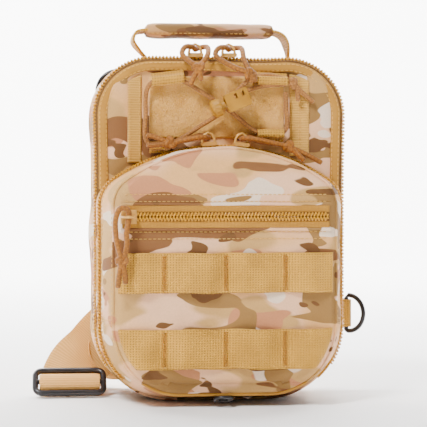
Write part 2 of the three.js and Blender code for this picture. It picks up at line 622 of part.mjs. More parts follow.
// Webbing folded round the bar: a flat stem on the bag's back that opens into an eye.
function ringTab(stemLength) {
  const top = -EYE_OUTER + 2.8;
  const shape = new THREE.Shape();
  shape.absarc(0, 0, EYE_OUTER, -Math.PI / 2, Math.PI * 0.9);
  shape.lineTo(-EYE_OUTER - 1.5, top);
  shape.lineTo(-stemLength, top);
  shape.lineTo(-stemLength, -EYE_OUTER);
  const eye = new THREE.Path();
  eye.absarc(0, 0, EYE_INNER, 0, 2 * Math.PI, true);
  shape.holes.push(eye);
  return new THREE.ExtrudeGeometry(shape, { depth: TAB_WIDTH, bevelEnabled: false, curveSegments: 8 })
    .translate(0, 0, -TAB_WIDTH / 2);
}

// A tab and its ring. at is the bar's middle, turn points the tab in the XZ plane, swing turns the ring.
function ringAnchor(side, at, turn, swing, stemLength) {
  const frame = new THREE.Group();
  frame.position.set(...at);
  frame.rotation.y = -turn;
  bag.add(frame);
  add(`ring_tab_${side}`, ringTab(stemLength), TAN_WEB, frame);
  const ring = add(`d_ring_${side}`, dRing(), BLACK_METAL, frame);
  ring.rotation.z = swing;
}

// A fabric wing sewn into the lower right side seam, which carries a ring.
const WING = [[70, 20], [79, 19], [84, 26], [91, 42], [91, 63], [84, 66], [70, 66]];

function sideWing() {
  const corners = WING.map((p) => new THREE.Vector2(...p));
  add("side_wing", slab(new THREE.Shape(corners), BACK_FACE + GAP, BACK_FACE + 2.4), TAN_WEB);
}

mainCompartment();
mainCover();
coverTrim();
bungeeCord();
cordLock();
frontPocket();
pocketFace();
slidersAndPulls();
grabHandle();
shoulderStrap();
sideWing();
ringAnchor("right", [97, BACK_FACE + 2.7 + EYE_OUTER, 52], 0, THREE.MathUtils.degToRad(-35), 29);
ringAnchor("top_left", [-64, BACK_FACE + GAP + EYE_OUTER, 207], THREE.MathUtils.degToRad(135), 0, 16);

export default bag;
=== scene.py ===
import json
import math

import bmesh
import bpy
import numpy as np
from mathutils import Matrix, Vector


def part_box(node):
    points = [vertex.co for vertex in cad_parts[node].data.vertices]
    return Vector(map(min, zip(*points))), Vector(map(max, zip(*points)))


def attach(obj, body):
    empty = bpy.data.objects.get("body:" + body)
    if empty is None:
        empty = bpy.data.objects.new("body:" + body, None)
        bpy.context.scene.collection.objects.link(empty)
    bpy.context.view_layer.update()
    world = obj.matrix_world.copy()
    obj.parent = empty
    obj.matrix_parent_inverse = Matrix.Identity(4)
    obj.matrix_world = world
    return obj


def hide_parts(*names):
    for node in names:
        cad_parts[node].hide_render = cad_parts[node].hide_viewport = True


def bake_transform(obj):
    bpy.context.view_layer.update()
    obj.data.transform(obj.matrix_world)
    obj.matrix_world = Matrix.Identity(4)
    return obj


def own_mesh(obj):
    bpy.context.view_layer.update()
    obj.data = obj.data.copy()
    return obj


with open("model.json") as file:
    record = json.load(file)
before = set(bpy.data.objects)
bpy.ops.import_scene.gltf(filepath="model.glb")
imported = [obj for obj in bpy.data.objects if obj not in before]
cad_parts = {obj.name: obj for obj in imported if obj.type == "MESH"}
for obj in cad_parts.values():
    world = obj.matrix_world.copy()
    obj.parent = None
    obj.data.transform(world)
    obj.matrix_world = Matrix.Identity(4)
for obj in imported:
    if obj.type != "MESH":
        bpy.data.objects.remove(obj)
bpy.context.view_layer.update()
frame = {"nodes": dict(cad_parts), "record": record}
MM = 0.001
FRONTWARDS, REARWARDS, UPWARDS = (0, -1, 0), (0, 1, 0), (0, 0, 1)
NODES = frame["nodes"]
BODY_OF = {node: body for body, nodes in frame["record"]["behaviour"]["bodies"].items() for node in nodes}


def node_box(node):
    """Lowest and highest corner of a CAD node, in millimetres."""
    low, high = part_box(node)
    return np.array(low) / MM, np.array(high) / MM


# ---------------------------------------------------------------- camera and light
def aim(thing, target):
    direction = Vector(target) - thing.location
    thing.rotation_euler = direction.to_track_quat("-Z", "Y").to_euler()


def camera():
    data = bpy.data.cameras.new("camera")
    data.lens = 140
    data.sensor_width = 36
    data.clip_end = 50
    cam = bpy.data.objects.new("camera", data)
    target = Vector((-0.0027, 0.0, 0.123))
    yaw, lift, distance = math.radians(-6.2), math.radians(1.1), 1.1
    cam.location = target + distance * Vector(
        (math.sin(yaw) * math.cos(lift), -math.cos(yaw) * math.cos(lift), math.sin(lift))
    )
    bpy.context.collection.objects.link(cam)
    aim(cam, target)
    bpy.context.scene.camera = cam


def area_light(name, location, size, power, target=(0, 0, 0.12)):
    data = bpy.data.lights.new(name, "AREA")
    data.shape = "SQUARE"
    data.size = size
    data.energy = power
    lamp = bpy.data.objects.new(name, data)
    lamp.location = location
    bpy.context.collection.objects.link(lamp)
    aim(lamp, target)


def backdrop():
    """A floor that sweeps up behind the bag, with lamps of its own."""
    near, bend, radius, top, half = -15, 1.6, 1.4, 7, 15
    turn = np.linspace(0, math.pi / 2, 20)
    profile = [(near, 0)] + [(bend + radius * math.sin(a), radius * (1 - math.cos(a))) for a in turn]
    profile += [(bend + radius, top)]
    points = [(x, y, z) for y, z in profile for x in (-half, half)]
    faces = [(2 * i, 2 * i + 1, 2 * i + 3, 2 * i + 2) for i in range(len(profile) - 1)]
    mesh = bpy.data.meshes.new("floor")
    mesh.from_pydata(points, [], faces)
    mesh.polygons.foreach_set("use_smooth", [True] * len(faces))
    floor = bpy.data.objects.new("floor", mesh)
    bpy.context.collection.objects.link(floor)
    paint = Paint("floor", roughness=0.8, specular=0.1)
    cloud = paint.noise(1.5, detail=1)
    paint.color(paint.mix(cloud, rgb(243, 242, 241), rgb(246, 246, 246)))
    mesh.materials.append(paint.material)
    for x in (-1.6, 0, 1.6):
        area_light(f"backdrop_{x}", (x, 1.2, 2.3), 1.2, 270, target=(x * 0.7, 3.2, 0.85))


def studio():
    camera()
    area_light("key", (-0.75, -1.0, 1.45), 0.42, 50)
    area_light("fill", (1.2, -1.1, 0.6), 1.2, 3)
    area_light("top", (0.1, 0.3, 1.5), 1.0, 9)
    area_light("rim", (0.6, 1.2, 0.9), 0.9, 9)
    world = bpy.data.worlds.new("studio")
    world.use_nodes = True
    background = world.node_tree.nodes["Background"]
    background.inputs["Color"].default_value = (1, 1, 1, 1)
    background.inputs["Strength"].default_value = 0.2
    bpy.context.scene.world = world
    backdrop()


# ---------------------------------------------------------------- procedural materials
VIVID = 1.32


def rgb(red, green, blue):
    """Linear colour of an sRGB triple, made more vivid to make up for the film-like tone curve."""
    linear = np.array([
        c / 255 / 12.92 if c <= 10 else ((c / 255 + 0.055) / 1.055) ** 2.4 for c in (red, green, blue)
    ])
    grey = linear @ [0.2126, 0.7152, 0.0722]
    return (*np.clip(grey + (linear - grey) * VIVID, 0.002, 1), 1)


class Paint:
    """A node material, with short calls for the nodes that feed its shader."""

    def __init__(self, name, roughness=0.8, metallic=0.0, sheen=0.0, specular=0.4, coat=0.0):
        self.material = bpy.data.materials.new(name)
        self.material.use_nodes = True
        self.tree = self.material.node_tree
        self.shader = self.tree.nodes["Principled BSDF"]
        values = {"Roughness": roughness, "Metallic": metallic, "Sheen Weight": sheen,
                  "Specular IOR Level": specular, "Coat Weight": coat}
        for socket, value in values.items():
            self.shader.inputs[socket].default_value = value
        self.place = self.node("ShaderNodeTexCoord").outputs["Object"]

    def node(self, kind, inputs=None, **attributes):
        made = self.tree.nodes.new(kind)
        for name, value in attributes.items():
            setattr(made, name, value)
        for name, value in (inputs or {}).items():
            if isinstance(value, bpy.types.NodeSocket):
                self.tree.links.new(value, made.inputs[name])
            else:
                made.inputs[name].default_value = value
        return made

    def math(self, operation, first, second=0.0, third=0.0):
        return self.node("ShaderNodeMath", {0: first, 1: second, 2: third}, operation=operation).outputs[0]

    def noise(self, scale, detail=2.0, seed=0.0, stretch=(1, 1, 1), distortion=0.0, roughness=0.5):
        """Noise of about 1/scale metres, stretched along each axis."""
        squeeze = {0: self.place, 1: [1 / s for s in stretch]}
        where = self.node("ShaderNodeVectorMath", squeeze, operation="MULTIPLY")
        inputs = {"Vector": where.outputs[0], "W": seed, "Scale": scale, "Detail": detail,
                  "Roughness": roughness, "Distortion": distortion}
        return self.node("ShaderNodeTexNoise", inputs, noise_dimensions="4D").outputs[0]

    def ramp(self, value, low, high):
        inputs = {"Value": value, "From Min": low, "From Max": high}
        return self.node("ShaderNodeMapRange", inputs, interpolation_type="SMOOTHSTEP").outputs[0]

    def mix(self, factor, first, second):
        made = self.node("ShaderNodeMix", data_type="RGBA")
        sockets = {0: factor, 6: first, 7: second}
        for index, value in sockets.items():
            if isinstance(value, bpy.types.NodeSocket):
                self.tree.links.new(value, made.inputs[index])
            else:
                made.inputs[index].default_value = value
        return made.outputs[2]

    def color(self, socket):
        self.tree.links.new(socket, self.shader.inputs["Base Color"])

    def uneven(self, value, roughness, less):
        """Roughness that follows a value, from a little less to a little more."""
        inputs = {"Value": value, "To Min": roughness - less, "To Max": roughness + 0.12}
        spread_out = self.node("ShaderNodeMapRange", inputs).outputs[0]
        self.tree.links.new(spread_out, self.shader.inputs["Roughness"])

    def bump(self, height, distance, strength=1.0):
        """Adds a height in metres to the surface, on top of earlier ones."""
        inputs = {"Height": height, "Distance": distance, "Strength": strength}
        earlier = self.shader.inputs["Normal"].links
        if earlier:
            inputs["Normal"] = earlier[0].from_socket
        made = self.node("ShaderNodeBump", inputs)
        self.tree.links.new(made.outputs[0], self.shader.inputs["Normal"])

    def wave(self, value, pitch, phase=0.0):
        """A sine of the value with that pitch in metres, from 0 to 1."""
        turned = self.math("MULTIPLY_ADD", value, 2 * math.pi / pitch, phase)
        return self.math("MULTIPLY_ADD", self.math("SINE", turned), 0.5, 0.5)

    def weave(self):
        """The weave coordinates of a ribbon or cord: metres along it, and across or round it."""
        made = self.node("ShaderNodeAttribute", attribute_name="weave")
        parts = self.node("ShaderNodeSeparateXYZ", {0: made.outputs["Vector"]})
        return parts.outputs[0], parts.outputs[1]

    def axes(self):
        parts = self.node("ShaderNodeSeparateXYZ", {0: self.place})
        return parts.outputs[0], parts.outputs[1], parts.outputs[2]


def cloth_grain(paint, pitch=0.0007):
    """A plain weave that shows on faces turned any way."""
    x, y, z = paint.axes()
    across = paint.wave(paint.math("ADD", x, y), pitch)
    up = paint.wave(z, pitch, 0.7)
    paint.bump(paint.math("MULTIPLY", across, up), 0.00006)


def camo_fabric(name="camo_fabric", shift=0.0, darker=0.0, shade=0.0):
    """Soft khaki and cream blends with crisp brown, rose and pale patches, wider than tall."""
    paint = Paint(name, roughness=0.78, sheen=0.0, specular=0.25)
    wide = (1.65, 1.3, 0.82)

    def blotches(color, scale, seed, edge, tint):
        spots = paint.ramp(paint.noise(scale, 1.4, seed + shift, wide, 0.55), edge, edge + 0.008)
        return paint.mix(spots, color, rgb(*tint))

    sandy = paint.ramp(paint.noise(26, 1, 1.3, wide), 0.42, 0.58)
    color = paint.mix(sandy, rgb(216, 172, 128), rgb(228, 188, 158))
    khaki = paint.ramp(paint.noise(30, 1.5, 7.1, wide, 0.3), 0.50, 0.55)
    color = paint.mix(khaki, color, rgb(188, 154, 112))
    color = blotches(color, 34, 11.8, 0.575, (182, 132, 104))
    color = blotches(color, 36, 31.7, 0.610, (232, 212, 192))
    color = blotches(color, 38, 23.4, 0.590 - darker, (142, 112, 78))
    color = blotches(color, 34, 44.6, 0.600 - darker, (118, 84, 60))
    color = blotches(color, 50, 58.1, 0.630 - darker, (100, 72, 50))
    grain = paint.ramp(paint.noise(900, 2, 2.0), 0.2, 0.8)
    color = paint.mix(shade, color, rgb(92, 76, 64))
    paint.color(paint.mix(grain, color, paint.mix(0.12, color, rgb(110, 84, 60))))
    cloth_grain(paint)
    paint.bump(paint.noise(160, 3, 5.5), 0.0004)
    paint.bump(paint.noise(42, 2, 15.5, (1.4, 1, 0.8), 0.6), 0.0022, 0.8)
    return paint.material


def plain_fabric(name, light, dark, roughness):
    paint = Paint(name, roughness=roughness, sheen=0.1)
    tone = paint.ramp(paint.noise(40, 4, 3.0), 0.3, 0.7)
    paint.color(paint.mix(tone, light, dark))
    cloth_grain(paint, 0.0008)
    paint.bump(paint.noise(120, 3, 9.0), 0.0003)
    return paint.material


def webbing(name, light, dark):
    """Woven tape: rows of small sunk points between raised threads."""
    paint = Paint(name, roughness=0.8, sheen=0.1)
    u, v = paint.weave()
    thread = paint.math("MULTIPLY", paint.wave(u, 0.0018), paint.wave(v, 0.0016))
    tone = paint.mix(paint.ramp(paint.noise(60, 3, 1.0), 0.3, 0.75), light, paint.mix(0.35, light, dark))
    # The sunk points are painted dark: painted shade in the weave's hollows.
    paint.color(paint.mix(paint.math("MULTIPLY", paint.ramp(thread, 0.40, 0.95), 0.85), tone, dark))
    sunk = paint.math("SUBTRACT", 1.0, thread)
    paint.bump(sunk, 0.0004)
    paint.bump(paint.noise(90, 3, 6.0), 0.0002)
    return paint.material


def ribbed_tape(name, light, dark, pitch):
    """Smooth tape with fine ribs across it."""
    paint = Paint(name, roughness=0.7, sheen=0.1)
    u, v = paint.weave()
    rib = paint.wave(u, pitch)
    fine = paint.wave(v, 0.0006)
    tone = paint.mix(paint.ramp(paint.noise(50, 3, 2.0), 0.3, 0.7), light, paint.mix(0.3, light, dark))
    paint.color(paint.mix(paint.math("MULTIPLY", rib, 0.55), tone, dark))
    paint.bump(rib, 0.00016, 0.8)
    paint.bump(fine, 0.00008, 0.6)
    return paint.material


def braided_cord(name, light, dark, pitch=0.0026, turns=2.0, radius=0.00175):
    """Round cord with crossing strands, from its length and angle coordinates."""
    paint = Paint(name, roughness=0.62, sheen=0.15)
    u, v = paint.weave()
    slope = paint.math("MULTIPLY", v, turns * pitch / (2 * math.pi * radius))
    left = paint.wave(paint.math("ADD", u, slope), pitch)
    right = paint.wave(paint.math("SUBTRACT", u, slope), pitch)
    strand = paint.math("MULTIPLY", left, right)
    tone = paint.mix(paint.ramp(paint.noise(70, 3, 4.0), 0.3, 0.7), light, paint.mix(0.4, light, dark))
    # The grooves between strands are painted darker: painted shade.
    paint.color(paint.mix(paint.ramp(strand, 0.0, 0.6), paint.mix(0.45, tone, dark), tone))
    paint.bump(strand, 0.0002)
    return paint.material


def loop_pile():
    paint = Paint("loop_fabric", roughness=0.95, sheen=0.35, specular=0.2)
    speck = paint.noise(1500, 2, 1.0)
    cloud = paint.ramp(paint.noise(70, 4, 2.0), 0.3, 0.7)
    color = paint.mix(cloud, rgb(220, 178, 122), rgb(196, 152, 98))
    paint.color(paint.mix(paint.ramp(speck, 0.55, 0.75), color, rgb(232, 196, 150)))
    paint.bump(speck, 0.0006)
    paint.bump(paint.noise(260, 3, 3.0), 0.0006)
    return paint.material


def spacer_mesh():
    """Padded air mesh: a staggered field of small dark holes."""
    paint = Paint("mesh_fabric", roughness=0.9, sheen=0.2, specular=0.25)
    x, _, z = paint.axes()
    pitch = 0.0030
    rising, falling = (paint.wave(paint.math(way, x, z), pitch) for way in ("ADD", "SUBTRACT"))
    first = paint.math("MULTIPLY", rising, falling)
    hole = paint.ramp(first, 0.45, 0.8)
    tone = paint.mix(paint.ramp(paint.noise(50, 3, 1.0), 0.3, 0.7), rgb(214, 180, 134), rgb(190, 154, 108))
    # The holes are painted dark: painted shade inside them.
    paint.color(paint.mix(hole, tone, rgb(118, 90, 58)))
    paint.bump(paint.math("SUBTRACT", 1.0, hole), 0.0006)
    return paint.material


def zipper_coil():
    paint = Paint("zipper_coil", roughness=0.38, specular=0.5)
    paint.color(paint.mix(paint.noise(300, 2, 1.0), rgb(214, 166, 98), rgb(176, 130, 70)))
    paint.bump(paint.noise(900, 2, 2.0), 0.0001)
    return paint.material


def moulded_plastic(name, light, dark):
    roughness = 0.5
    paint = Paint(name, roughness=roughness)
    cloud = paint.noise(90, 4, 1.0)
    paint.color(paint.mix(paint.ramp(cloud, 0.3, 0.7), light, dark))
    paint.uneven(paint.noise(400, 2, 3.0), roughness, 0.1)
    paint.bump(paint.noise(1400, 2, 2.0), 0.00006)
    return paint.material


def enamel(name, light, wear_and_highlight, roughness, metallic):
    """Painted metal, a little brighter along its edges: partly worn paint, partly a painted highlight."""
    paint = Paint(name, roughness=roughness, metallic=metallic, coat=0.2)
    # Brighter edges from pointiness: wear and a painted highlight along them.
    edge = paint.ramp(paint.node("ShaderNodeNewGeometry").outputs["Pointiness"], 0.52, 0.62)
    patchy = paint.math("MULTIPLY", edge, paint.ramp(paint.noise(260, 3, 1.0), 0.35, 0.65))
    paint.color(paint.mix(patchy, paint.mix(paint.noise(120, 3, 2.0), light, paint.mix(0.25, light, wear_and_highlight)), wear_and_highlight))
    paint.uneven(paint.noise(200, 3, 4.0), roughness, 0.08)
    paint.bump(paint.noise(700, 2, 3.0), 0.00003)
    return paint.material


def thread():
    paint = Paint("thread", roughness=0.55, sheen=0.2)
    paint.color(paint.mix(paint.noise(400, 2, 1.0), rgb(222, 182, 118), rgb(196, 154, 92)))
    paint.bump(paint.noise(2500, 2, 1.0), 0.0001)
    return paint.material


CAMO = camo_fabric()
HANDLE_CAMO = camo_fabric("handle_camo_fabric", 70.0, 0.075, 0.3)
LINING = plain_fabric("lining_fabric", rgb(170, 142, 102), rgb(146, 118, 82), 0.6)
WING = plain_fabric("wing_fabric", rgb(228, 190, 142), rgb(214, 174, 126), 0.85)
WEBBING = webbing("tan_webbing", rgb(200, 156, 94), rgb(112, 80, 38))
STRIP_WEB = ribbed_tape("strip_webbing", rgb(210, 170, 112), rgb(166, 126, 74), 0.0016)
STRAP_WEB = ribbed_tape("strap_webbing", rgb(226, 184, 132), rgb(186, 142, 92), 0.0014)
BINDING = ribbed_tape("binding_tape", rgb(188, 144, 88), rgb(148, 106, 56), 0.0008)
ZIP_TAPE = ribbed_tape("zip_tape", rgb(178, 134, 78), rgb(136, 96, 48), 0.0009)
# Painted shade: a dark tape finish for the shade under and between zipper coils.
COIL_SHADE = ribbed_tape("coil_shade", rgb(112, 80, 44), rgb(78, 54, 28), 0.0009)
LOOP = loop_pile()
PULL_CORD = braided_cord("pull_cord", rgb(156, 104, 46), rgb(92, 60, 24))
BUNGEE = braided_cord("bungee_cord", rgb(168, 120, 78), rgb(98, 66, 40), 0.002, 2.0, 0.0015)
MESH_FABRIC = spacer_mesh()
COIL = zipper_coil()
TAN_PLASTIC = moulded_plastic("tan_plastic", rgb(168, 128, 74), rgb(148, 108, 58))
SLIDER_METAL = enamel("slider_metal", rgb(196, 152, 98), rgb(228, 196, 146), 0.4, 0.25)
BLACK_METAL = enamel("black_metal", rgb(34, 32, 33), rgb(92, 90, 92), 0.32, 0.6)
THREAD = thread()


# ---------------------------------------------------------------- mesh building
def unit(vectors):
    return vectors / np.maximum(np.linalg.norm(vectors, axis=-1, keepdims=True), 1e-9)


def xyz(x, y, z):
    """Points from coordinates that broadcast together."""
    return np.stack(np.broadcast_arrays(x, y, z), -1)


def sample(at, run, values):
    """Each column of values, read off at distances along a run."""
    return np.stack([np.interp(at, run, column) for column in values.T], -1)


def squared(wave, power):
    """A sine or cosine bent towards a square wave."""
    return np.sign(wave) * np.abs(wave) ** power


def from_edges(value, low, high):
    """Distance in from the nearer of two edges."""
    return np.minimum(value - low, high - value)


def band_frames(line, across):
    """Side and normal of a flat band, from the direction of its width."""
    tangent = unit(np.gradient(line, axis=0))
    side = unit(across - tangent * (across * tangent).sum(1, keepdims=True))
    return side, np.cross(tangent, side)


def wobble(points, size, seed):
    """Smooth waves over space, about -1 to 1, of roughly that size in millimetres."""
    random = np.random.RandomState(seed)
    waves = random.normal(size=(7, 3)) * 2.2 / size
    phases = random.uniform(0, 2 * math.pi, 7)
    return np.sin(points @ waves.T + phases).sum(-1) / 3.2


def smooth_line(points, steps):
    """Centripetal Catmull-Rom curve through the points, sampled evenly by parameter."""
    p = np.asarray(points, float)
    p = np.vstack([2 * p[0] - p[1], p, 2 * p[-1] - p[-2]])
    line = []
    last = len(p) - 4
    for i in range(steps + 1):
        at = i / steps * (last + 1)
        k = min(int(at), last)
        w = at - k
        a, b, c, d = p[k : k + 4]
        g0, g1, g2 = (max(np.linalg.norm(v) ** 0.5, 1e-4) for v in (b - a, c - b, d - c))
        m1 = ((b - a) / g0 - (c - a) / (g0 + g1) + (c - b) / g1) * g1
        m2 = ((c - b) / g1 - (d - b) / (g1 + g2) + (d - c) / g2) * g1
        line.append(b + m1 * w + (3 * (c - b) - 2 * m1 - m2) * w**2 + (2 * (b - c) + m1 + m2) * w**3)
    return np.array(line)


def along(line):
    """Distance from the line's start to each of its points."""
    return np.concatenate([[0], np.cumsum(np.linalg.norm(np.diff(line, axis=0), axis=1))])


def even(line, step):
    """The same line with points about one step apart."""
    run = along(line)
    count = max(int(round(run[-1] / step)), 2)
    at = np.linspace(0, run[-1], count + 1)
    return sample(at, run, line)


def line_frames(line):
    """Tangent, side and normal at each point, carried along without twist."""
    tangent = unit(np.gradient(line, axis=0))
    side = np.zeros_like(line)
    start = np.array([0.3, 0.2, 1.0])
    for i, t in enumerate(tangent):
        start = start - t * (start @ t)
        start = start / max(np.linalg.norm(start), 1e-9)
        side[i] = start
    return tangent, side, np.cross(tangent, side)


class Maker:
    """Collects faces in millimetres, with a weave coordinate at each vertex, into one mesh."""

    def __init__(self):
        self.points, self.weave, self.faces = [], [], []
        self.count = 0

    def _add(self, points, weave, faces):
        self.points.append(points.reshape(-1, 3))
        self.weave.append(weave.reshape(-1, 2))
        self.faces.extend((np.asarray(faces) + self.count).tolist() if len(faces) else [])
        self.count += points.reshape(-1, 3).shape[0]

    def grid(self, points, weave=None, wrap_rows=False, wrap_columns=False):
        rows, columns = points.shape[:2]
        if weave is None:
            weave = np.zeros((rows, columns, 2))
        i = np.arange(rows if wrap_rows else rows - 1)
        j = np.arange(columns if wrap_columns else columns - 1)
        i, j = np.meshgrid(i, j, indexing="ij")
        i2, j2 = (i + 1) % rows, (j + 1) % columns
        corners = [i * columns + j, i2 * columns + j, i2 * columns + j2, i * columns + j2]
        faces = np.stack(corners, -1).reshape(-1, 4)
        self._add(points, weave, faces)
        return self

    def fan(self, ring, centre, flip=False):
        points = np.vstack([ring, centre])
        n = len(ring)
        faces = [[(i + 1) % n, i, n] if flip else [i, (i + 1) % n, n] for i in range(n)]
        self._add(points, np.zeros((n + 1, 2)), faces)

    def swept(self, points, weave=None):
        """A closed section swept along rows, capped at both ends."""
        self.grid(points, weave, wrap_columns=True)
        self.fan(points[0], points[0].mean(0), flip=True)
        self.fan(points[-1], points[-1].mean(0))
        return self

    def tube(self, line, radius, sides=8, closed=False):
        """A round tube along a line. radius is one number or one per point."""
        radius = np.broadcast_to(radius, len(line))[:, None]
        _, side, normal = line_frames(line)
        angles = np.arange(sides) * 2 * math.pi / sides
        ring = side[:, None] * np.cos(angles)[None, :, None] + normal[:, None] * np.sin(angles)[None, :, None]
        points = line[:, None] + ring * radius[..., None]
        run = along(line)[:, None] * np.ones(sides)
        weave = np.stack([run, angles[None] * radius], -1)
        self.grid(points, weave, wrap_rows=closed, wrap_columns=True)
        if not closed:
            tangent = unit(np.gradient(line, axis=0))
            self.fan(points[0], line[0] - tangent[0] * radius[0] * 0.4, flip=True)
            self.fan(points[-1], line[-1] + tangent[-1] * radius[-1] * 0.4)
        return self

    def keep(self, test):
        """Keeps only the faces whose centres pass the test."""
        points, weave, faces = np.vstack(self.points), np.vstack(self.weave), np.array(self.faces)
        faces = faces[test(points[faces].mean(1))]
        used, compact = np.unique(faces, return_inverse=True)
        self.points, self.weave = [points[used]], [weave[used]]
        self.faces = compact.reshape(faces.shape).tolist()
        self.count = len(used)
        return self

    def make(self, name, *materials, sharp=60):
        mesh = bpy.data.meshes.new(name)
        points = np.vstack(self.points) * MM
        mesh.from_pydata(points.tolist(), [], self.faces)
        weave = np.vstack(self.weave) * MM
        attribute = mesh.attributes.new("weave", "FLOAT_VECTOR", "POINT")
        attribute.data.foreach_set("vector", np.hstack([weave, np.zeros((len(weave), 1))]).astype(np.float32).ravel())
        mesh.polygons.foreach_set("use_smooth", [True] * len(mesh.polygons))
        for material in materials:
            mesh.materials.append(material)
        mesh.update()
        mesh.set_sharp_from_angle(angle=math.radians(sharp))
        piece = bpy.data.objects.new(name, mesh)
        bpy.context.collection.objects.link(piece)
        return piece


def thicken(piece, thickness, lining=False, offset=-1.0):
    """Gives a sheet its thickness; the far side can show the lining."""
    made = piece.modifiers.new("thickness", "SOLIDIFY")
    made.thickness = thickness * MM
    made.offset = offset
    made.use_even_offset = False
    if lining:
        made.material_offset = 1
        made.material_offset_rim = 0
    return piece


def facing(piece, out=None, centre=(0, 20, 110)):
    """Turns a sheet's faces to a direction, or away from a centre."""
    mesh = piece.data
    normals, centres = np.zeros(3 * len(mesh.polygons)), np.zeros(3 * len(mesh.polygons))
    mesh.polygons.foreach_get("normal", normals)
    mesh.polygons.foreach_get("center", centres)
    away = np.array(out, float) if out is not None else centres.reshape(-1, 3) / MM - np.array(centre)
    if (normals.reshape(-1, 3) * away).sum() < 0:
        mesh.flip_normals()
    return piece


def shell(maker, name, *materials, out=None, centre=(0, 20, 110), thickness=1.6):
    """A sheet with its thickness behind it; a second material lines it."""
    piece = facing(maker.make(name, *materials), out, centre)
    return thicken(piece, thickness, lining=len(materials) > 1)


def place(piece, slot, *nodes, body=None):
    """The piece rides on its body and stands for CAD nodes, which it hides; its slot is not used."""
    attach(piece, body or BODY_OF[nodes[0]])
    if nodes:
        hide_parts(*nodes)
    return piece


def ribbon(maker, line, across, width, thickness):
    """Flat webbing along a line. across gives the direction of its width at each point."""
    side, normal = band_frames(line, across)
    half = np.broadcast_to(np.asarray(width, float) / 2, len(line))[:, None, None]
    thin = thickness / 2
    columns = 14
    u = np.linspace(-1, 1, columns)
    edge_round = np.clip((1 - np.abs(u)) * 10, 0.35, 1) ** 0.5
    top = np.stack([u, thin * edge_round], 1)
    section = np.vstack([top, top[::-1] * [1, -1]])
    points = (
        line[:, None]
        + side[:, None] * half * section[None, :, :1]
        + normal[:, None] * section[None, :, 1:]
    )
    run = along(line)[:, None] * np.ones(len(section))
    weave = np.stack([run, half[..., 0] * section[None, :, 0]], -1)
    return maker.swept(points, weave)


def stitches(maker, line, normal, pitch=3.0, share=0.72, radius=0.3, lift=0.12):
    """Sewn thread: short raised stitches end to end along a line."""
    run = along(line)
    normal = np.broadcast_to(np.asarray(normal, float), line.shape)
    count = max(int(run[-1] / pitch), 1)
    shape = np.array([[0.0, -0.35, 0.5], [0.2, 0.6, 1.0], [0.8, 0.6, 1.0], [1.0, -0.35, 0.5]])
    for k in range(count):
        at = (k + 0.5 + (shape[:, 0] - 0.5) * share) * run[-1] / count
        here = sample(at, run, line) + sample(at, run, normal) * (lift + shape[:, 1:2] * radius)
        maker.tube(here, radius * shape[:, 2], sides=5)
    return maker


def coil(maker, line, outward, side, radius_out=0.75, radius_side=0.95, pitch=1.6, wire=0.36, handed=1):
    """A zipper coil: a wire wound flat round a line."""
    run = along(line)
    turns = int(run[-1] / pitch)
    per_turn = 9
    count = turns * per_turn
    at = np.linspace(0, run[-1], count + 1)
    outward, side = (np.broadcast_to(np.asarray(v, float), line.shape) for v in (outward, side))
    angle = handed * np.arange(count + 1) * 2 * math.pi / per_turn
    wound = (
        sample(at, run, line)
        + sample(at, run, outward) * (np.cos(angle) * radius_out)[:, None]
        + sample(at, run, side) * (np.sin(angle) * radius_side)[:, None]
    )
    maker.tube(wound, wire, sides=5)
    return maker


# ---------------------------------------------------------------- the bag's outlines
class Outline:
    """A closed line in the XZ plane, anticlockwise from the middle of its bottom edge."""

    def __init__(self, arcs, bottom):
        points, normals = [(0, bottom)], [(0, -1)]
        for x, z, radius, start, end in arcs:
            for a in np.linspace(start, end, 40):
                points.append((x + radius * math.cos(a), z + radius * math.sin(a)))
                normals.append((math.cos(a), math.sin(a)))
        self.points = np.array(points + [(0, bottom)], float)
        self.normals = np.array(normals + [(0, -1)], float)
        self.run = along(self.points)
        self.length = self.run[-1]

    def at(self, share, inset=0.0):
        """Points and outward normals at shares of the way round."""
        distance = np.asarray(share) * self.length
        normals = unit(sample(distance, self.run, self.normals))
        return sample(distance, self.run, self.points) - normals * np.asarray(inset)[..., None], normals

    def share_at(self, z):
        """Share of the way round at which the right side reaches a height."""
        half = np.linspace(0, 0.5, 4000)
        heights = self.at(half)[0][:, 1]
        return float(half[np.argmax(heights >= z)])


QUARTER = math.pi / 2
MAIN_LOW, MAIN_HIGH = node_box("main_gusset")
MAIN_HALF, MAIN_TOP = MAIN_HIGH[0], MAIN_HIGH[2]
MAIN_FRONT, MAIN_BACK = MAIN_LOW[1], MAIN_HIGH[1]
TOP_RADIUS, BOTTOM_RADIUS = 38, 50
MAIN = Outline(
    [
        (MAIN_HALF - BOTTOM_RADIUS, BOTTOM_RADIUS, BOTTOM_RADIUS, -QUARTER, 0),
        (MAIN_HALF - TOP_RADIUS, MAIN_TOP - TOP_RADIUS, TOP_RADIUS, 0, QUARTER),
        (-MAIN_HALF + TOP_RADIUS, MAIN_TOP - TOP_RADIUS, TOP_RADIUS, QUARTER, 2 * QUARTER),
        (-MAIN_HALF + BOTTOM_RADIUS, BOTTOM_RADIUS, BOTTOM_RADIUS, 2 * QUARTER, 3 * QUARTER),
    ],
    0,
)
ZIP_FLOOR = 24

